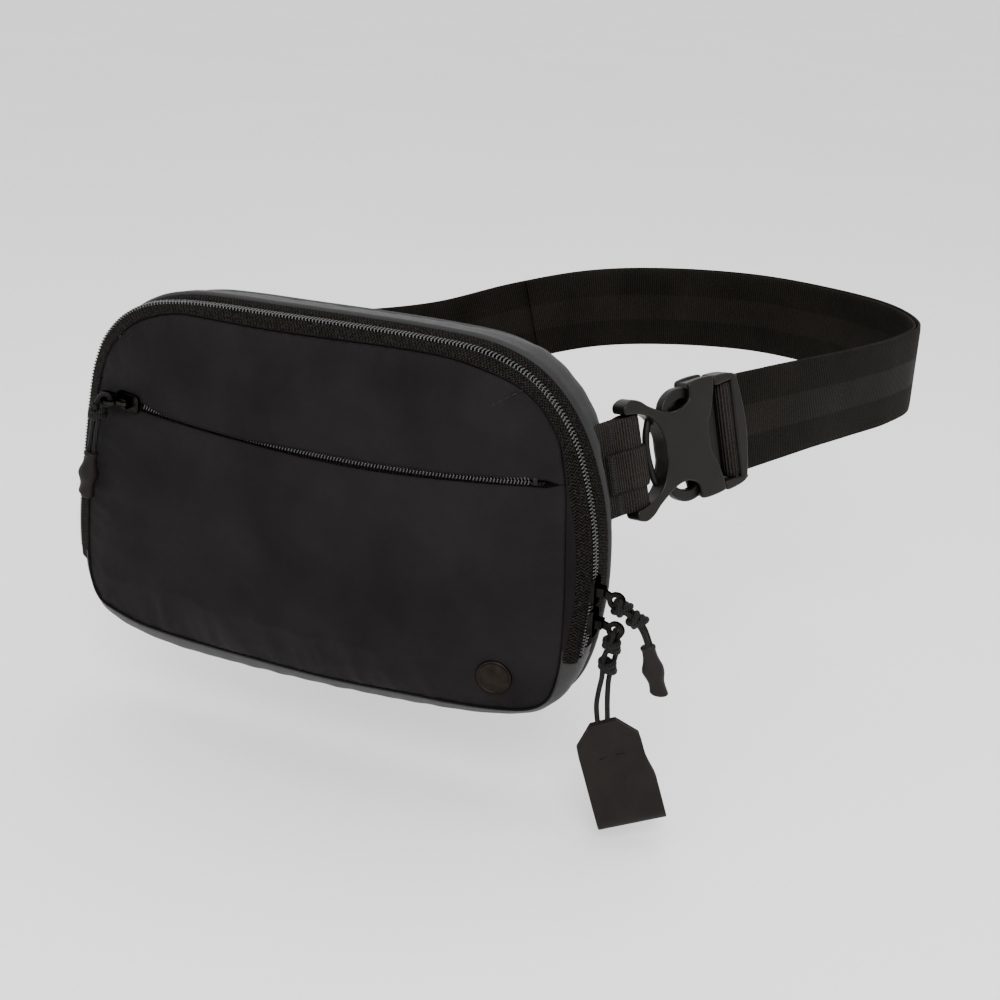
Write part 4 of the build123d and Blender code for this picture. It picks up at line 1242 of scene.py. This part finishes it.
def knot_piece(name, low, high, side):
    """An overhand knot in the doubled cord: two turns and a crossing strand round the pull."""
    low = np.array(low, float)
    high = np.array(high, float)
    axis = unit(high - low)
    side = unit(side - axis * np.dot(side, axis))
    other = np.cross(axis, side)
    middle = (low + high) / 2
    rows = []
    for phase, tilt, reach in ((0.0, 1.0, 1.0), (2.6, -1.3, -0.8)):
        turn = np.linspace(0, 2 * pi * 1.35, 44)
        share = np.linspace(-1, 1, 44)
        radius = 2.5 - 1.1 * np.abs(share) ** 6 + 0.3 * np.sin(2 * turn + phase)
        height = reach * 1.7 * share + tilt * np.sin(turn + phase)
        path = (middle + side * (radius * np.cos(turn + phase))[:, None]
                + other * (radius * np.sin(turn + phase))[:, None] + axis * height[:, None])
        rows.append(tube_rows(path, 1.2 - 0.35 * np.abs(share) ** 8, 10, axis))
    joined = np.concatenate(rows)
    count = len(rows[0])
    quads, _, _ = flat_faces(count, 10, True)
    faces = np.vstack([quads, quads + count * 10]).tolist()
    return mesh_piece(name, joined, faces, BRAID)


def toggle_piece(name, start, end):
    """A moulded rubber end: a rimmed sleeve, a swelling, a neck and a flared, slanting foot."""
    start = np.array(start, float)
    end = np.array(end, float)
    length = np.linalg.norm(end - start)
    shape = ((0, 0.9), (0, 1.9), (0.01, 2.7), (0.03, 2.95), (0.06, 2.9), (0.085, 2.7), (0.12, 2.6),
             (0.22, 2.75), (0.32, 3.2), (0.44, 3.9), (0.52, 4.0), (0.6, 3.85), (0.68, 3.35), (0.76, 3.0),
             (0.86, 3.05), (0.95, 3.3), (0.985, 3.35), (1, 3.1), (1, 1.6), (1, 0.05))
    axis = unit(end - start)
    rows = lathe_rows(start, axis, SIDE, [(share * length, radius) for share, radius in shape], 32)
    across = unit(np.cross(axis, SIDE))
    shares = np.array([share for share, _ in shape])
    slant = (rows - start) @ across * 0.28 * ease(shares, 0.7, 1.0)[:, None]
    rows = rows - axis * slant[..., None]
    depth = (rows - start) @ SIDE
    rows = rows - SIDE * (depth * 0.14)[..., None]
    bump = np.exp(-((shares - 0.5) / 0.07) ** 2)[:, None] * ((rows - start) @ across > 2.2) * 0.5
    return grid_piece(name, rows + across * bump[..., None], RUBBER, closed=True, flip=True)


def make_hitch(name, low, high):
    """The cord's bight, drawn tight under the puller's eye."""
    place(knot_piece(f"{name}_pull_hitch", low, high, SIDE), f"{name}_pendant", "pull_cord")


def make_pull(name, route, sides, widths, eye, eye_side, knot_at, end_piece, end_slot, end_node):
    """One corded pull, hung from its puller's eye, with its knot and its end."""
    eye_side = np.array(eye_side, float)
    points = cord_points(route, sides, widths, np.array(eye, float), eye_side)
    cord = cord_curve(f"{name}_pull_cord", points)
    knot = knot_piece(f"{name}_pull_knot", route[knot_at], route[knot_at + 1], eye_side)
    for piece, slot, node in ((cord, "pull_cord", f"{name}_cord"), (knot, "pull_cord", f"{name}_knot"),
                              (end_piece, end_slot, end_node)):
        place(piece, f"{name}_pendant", slot, node)


def make_upper_pull():
    y = CHAIN_Y
    route = [(136.6, y, -28.0), (134.8, y, -22.6), (132.4, y, -18.4), (129.4, y, -15.6), (126.4, y, -13.3)]
    widths = (1.15, 1.15, 1.2, 1.2, 2.2)
    end = toggle_piece("upper_toggle", (135.3, y, -26.0), (141.0, y, -44.6))
    make_pull("upper", route, [SIDE] * 5, widths, (122.6, y, -10.8), SIDE, 2, end,
              "toggle_rubber", "rubber_toggle")
    make_hitch("upper", (127.0, y, -14.8), (122.8, y, -12.0))


def make_lower_pull():
    y = CHAIN_Y
    route = [(120.6, y, -65.0), (119.4, y, -57.0), (119.6, y, -49.0), (120.3, y, -42.0), (121.2, y, -34.0),
             (122.6, y, -28.0)]
    level = np.array((-0.93, -0.37, 0.0))
    turned = [unit(share * level + lean * SIDE) for share, lean in ((1, 0.5), (1.4, 1), (0.5, 1))]
    widths = (1.7, 2.2, 1.7, 1.3, 2.9, 2.2)
    make_pull("lower", route, [level] * 3 + turned, widths, (122.9, y, -22.6), SIDE, 3, tag_piece(),
              "tag_leather", "leather_tag")
    make_hitch("lower", (121.4, y, -31.4), (122.2, y, -27.0))
    make_tag_stitches()


def make_pocket_pull():
    route = np.array([(-94.6, -42.1, 14.4), (-92.4, -42.9, 20.4), (-90.2, -44.0, 26.6), (-87.6, -45.2, 32.0),
                      (-85.4, -46.3, 36.8), (-83.4, -46.8, 40.0)])
    eye = (-80.4537, -45.701, 39.6073)
    eye_side = (0.113426, -0.004519, 0.993536)
    ways = route[:-1] - route[1:]
    sides = unit(np.column_stack([ways[:, 2], np.zeros(5), -ways[:, 0]]))
    widths = (1.1, 1.1, 1.1, 1.15, 1.6, 2.2)
    end = toggle_piece("pocket_toggle_end", (-94.2, -42.4, 15.0), (-99.0, -41.8, -4.0))
    make_pull("pocket", route, np.vstack([sides, eye_side]), widths, eye, eye_side, 3, end,
              "toggle_rubber", "pocket_toggle")


TAG_ORIGIN = np.array((120.2, CHAIN_Y, -61.8))
TAG_TILT = radians(16)
TAG_TURN = radians(25)
TAG_FACING = np.array((sin(TAG_TURN), -cos(TAG_TURN), 0.0))


def on_tag(across, down, through):
    """Points in the tag's own frame: across it, down from its top, and through it."""
    level = np.array((cos(TAG_TURN), sin(TAG_TURN), 0.0))
    wide = level * cos(TAG_TILT) + np.array((0, 0, sin(TAG_TILT)))
    hang = level * sin(TAG_TILT) - np.array((0, 0, cos(TAG_TILT)))
    across, down, through = (np.asarray(a, float)[..., None] for a in (across, down, through))
    return TAG_ORIGIN + wide * across + hang * down + TAG_FACING * through


def tag_piece():
    """A strip of leather folded at its foot; the fold stays open, the upper half is closed."""
    line = smooth_line([(0.2, 0.8), (10, 0.8), (19, 0.85), (26, 2.2), (34, 4.2), (41, 4.9), (44.9, 3.5),
                        (45.8, 0.9), (45.8, -0.9), (44.9, -3), (42, -3.8), (36, -3.1), (28, -1.7),
                        (20, -0.85), (10, -0.8), (0.2, -0.8)], 130)
    down = line[:, 0]
    half = 4.8 + 7.4 * np.clip(down / 8.6, 0, 1) + 0.25 * ease(down, 8, 14)
    rows = []
    for share in np.linspace(-1, 1, 25):
        flare = (1 + share) * ease(down, 17, 32)
        opening = 1 + 0.12 * share * ease(down, 24, 38)
        curl = 0.5 * ease(down, 26, 40) * share
        rows.append(on_tag(half * share + flare, down, line[:, 1] * opening + curl))
    piece = thicken(grid_piece("tag_folded_leather", rows, LEATHER), 1.4, offset=0)
    bevel = piece.modifiers.new("edge", "BEVEL")
    bevel.width = 0.3 * MM
    bevel.segments = 2
    return piece


def make_tag_stitches():
    """Two short stitches that close the tag's upper half, on both of its faces."""
    places = []
    for through in (1.6, -1.6):
        for across in (-3.4, 3.4):
            middle = on_tag([across], [15.5], [through])
            ahead = on_tag([across + 1], [15.5 + 0.2 * np.sign(across)], [through]) - middle
            outward = np.array([TAG_FACING * np.sign(through)])
            places.append(bead_points(middle, ahead, outward, 3.4, 0.6, 0.5))
    piece = bead_piece("tag_stitches", np.concatenate(places), THREAD)
    place(piece, "lower_pendant", "tag_leather")


# ---- finishes of the CAD parts that stay ----
def refinish(material, *names):
    for name in names:
        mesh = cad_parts[name].data
        for number in range(len(mesh.materials)):
            mesh.materials[number] = material


def finish_cad_parts():
    refinish(GUNMETAL, "upper_slider", "lower_slider", "upper_puller", "lower_puller")
    refinish(BRIGHT, "pocket_slider", "pocket_puller", "pocket_end_stop")
    refinish(BADGE, "badge_rivet")


# ---- floor, light and camera ----
def make_floor():
    lines = np.linspace(-16000, 16000, 17)
    rows = np.array([[(x, y, FLOOR_Z) for x in lines] for y in lines])
    grid_piece("floor", rows, make_pale_floor())


def soft_light(name, place_mm, target_mm, size, power):
    light = bpy.data.lights.new(name, "AREA")
    light.shape = "DISK"
    light.size = size
    light.energy = power
    lamp = add_object(name, light)
    spot = Vector(place_mm) * MM
    lamp.location = spot
    lamp.rotation_euler = (Vector(target_mm) * MM - spot).to_track_quat("-Z", "Y").to_euler()


def make_light():
    world = bpy.data.worlds.new("studio")
    world.use_nodes = True
    background = world.node_tree.nodes["Background"]
    background.inputs[0].default_value = (1.0, 1.0, 1.0, 1.0)
    background.inputs[1].default_value = 1.5
    bpy.context.scene.world = world
    soft_light("overhead", (100, 60, 900), (40, 0, 0), 0.9, 4)
    soft_light("front", (450, -850, 850), (20, 0, 0), 0.6, 13)
    soft_light("right_rim", (900, -200, 500), (80, 40, 20), 0.5, 0.6)


def make_camera():
    azimuth = radians(CAMERA_AZIMUTH)
    elevation = radians(CAMERA_ELEVATION)
    roll = radians(CAMERA_ROLL)
    back = Vector((sin(azimuth) * cos(elevation), -cos(azimuth) * cos(elevation), sin(elevation)))
    level = Vector((cos(azimuth), sin(azimuth), 0))
    upright = back.cross(level)
    right = level * cos(roll) + upright * sin(roll)
    up = upright * cos(roll) - level * sin(roll)
    camera = add_object("camera", bpy.data.cameras.new("camera"))
    camera.data.lens = CAMERA_LENS
    camera.data.sensor_width = 36
    turn = Matrix((right, up, back)).transposed().to_4x4()
    camera.matrix_world = Matrix.Translation(Vector(CAMERA_PLACE) * MM) @ turn
    bpy.context.scene.camera = camera


for make in (make_camera, make_light, make_floor, make_upper_pull, make_lower_pull, make_pocket_pull,
             make_front_panels, make_main_coils, make_end_stops, make_front_band, make_back_tape,
             make_back_gusset, make_lower_gusset, make_back_panel, make_linings, make_pocket_zip,
             make_badge, make_belt, make_tabs, make_buckle_shell, make_buckle_plug, finish_cad_parts):
    make()
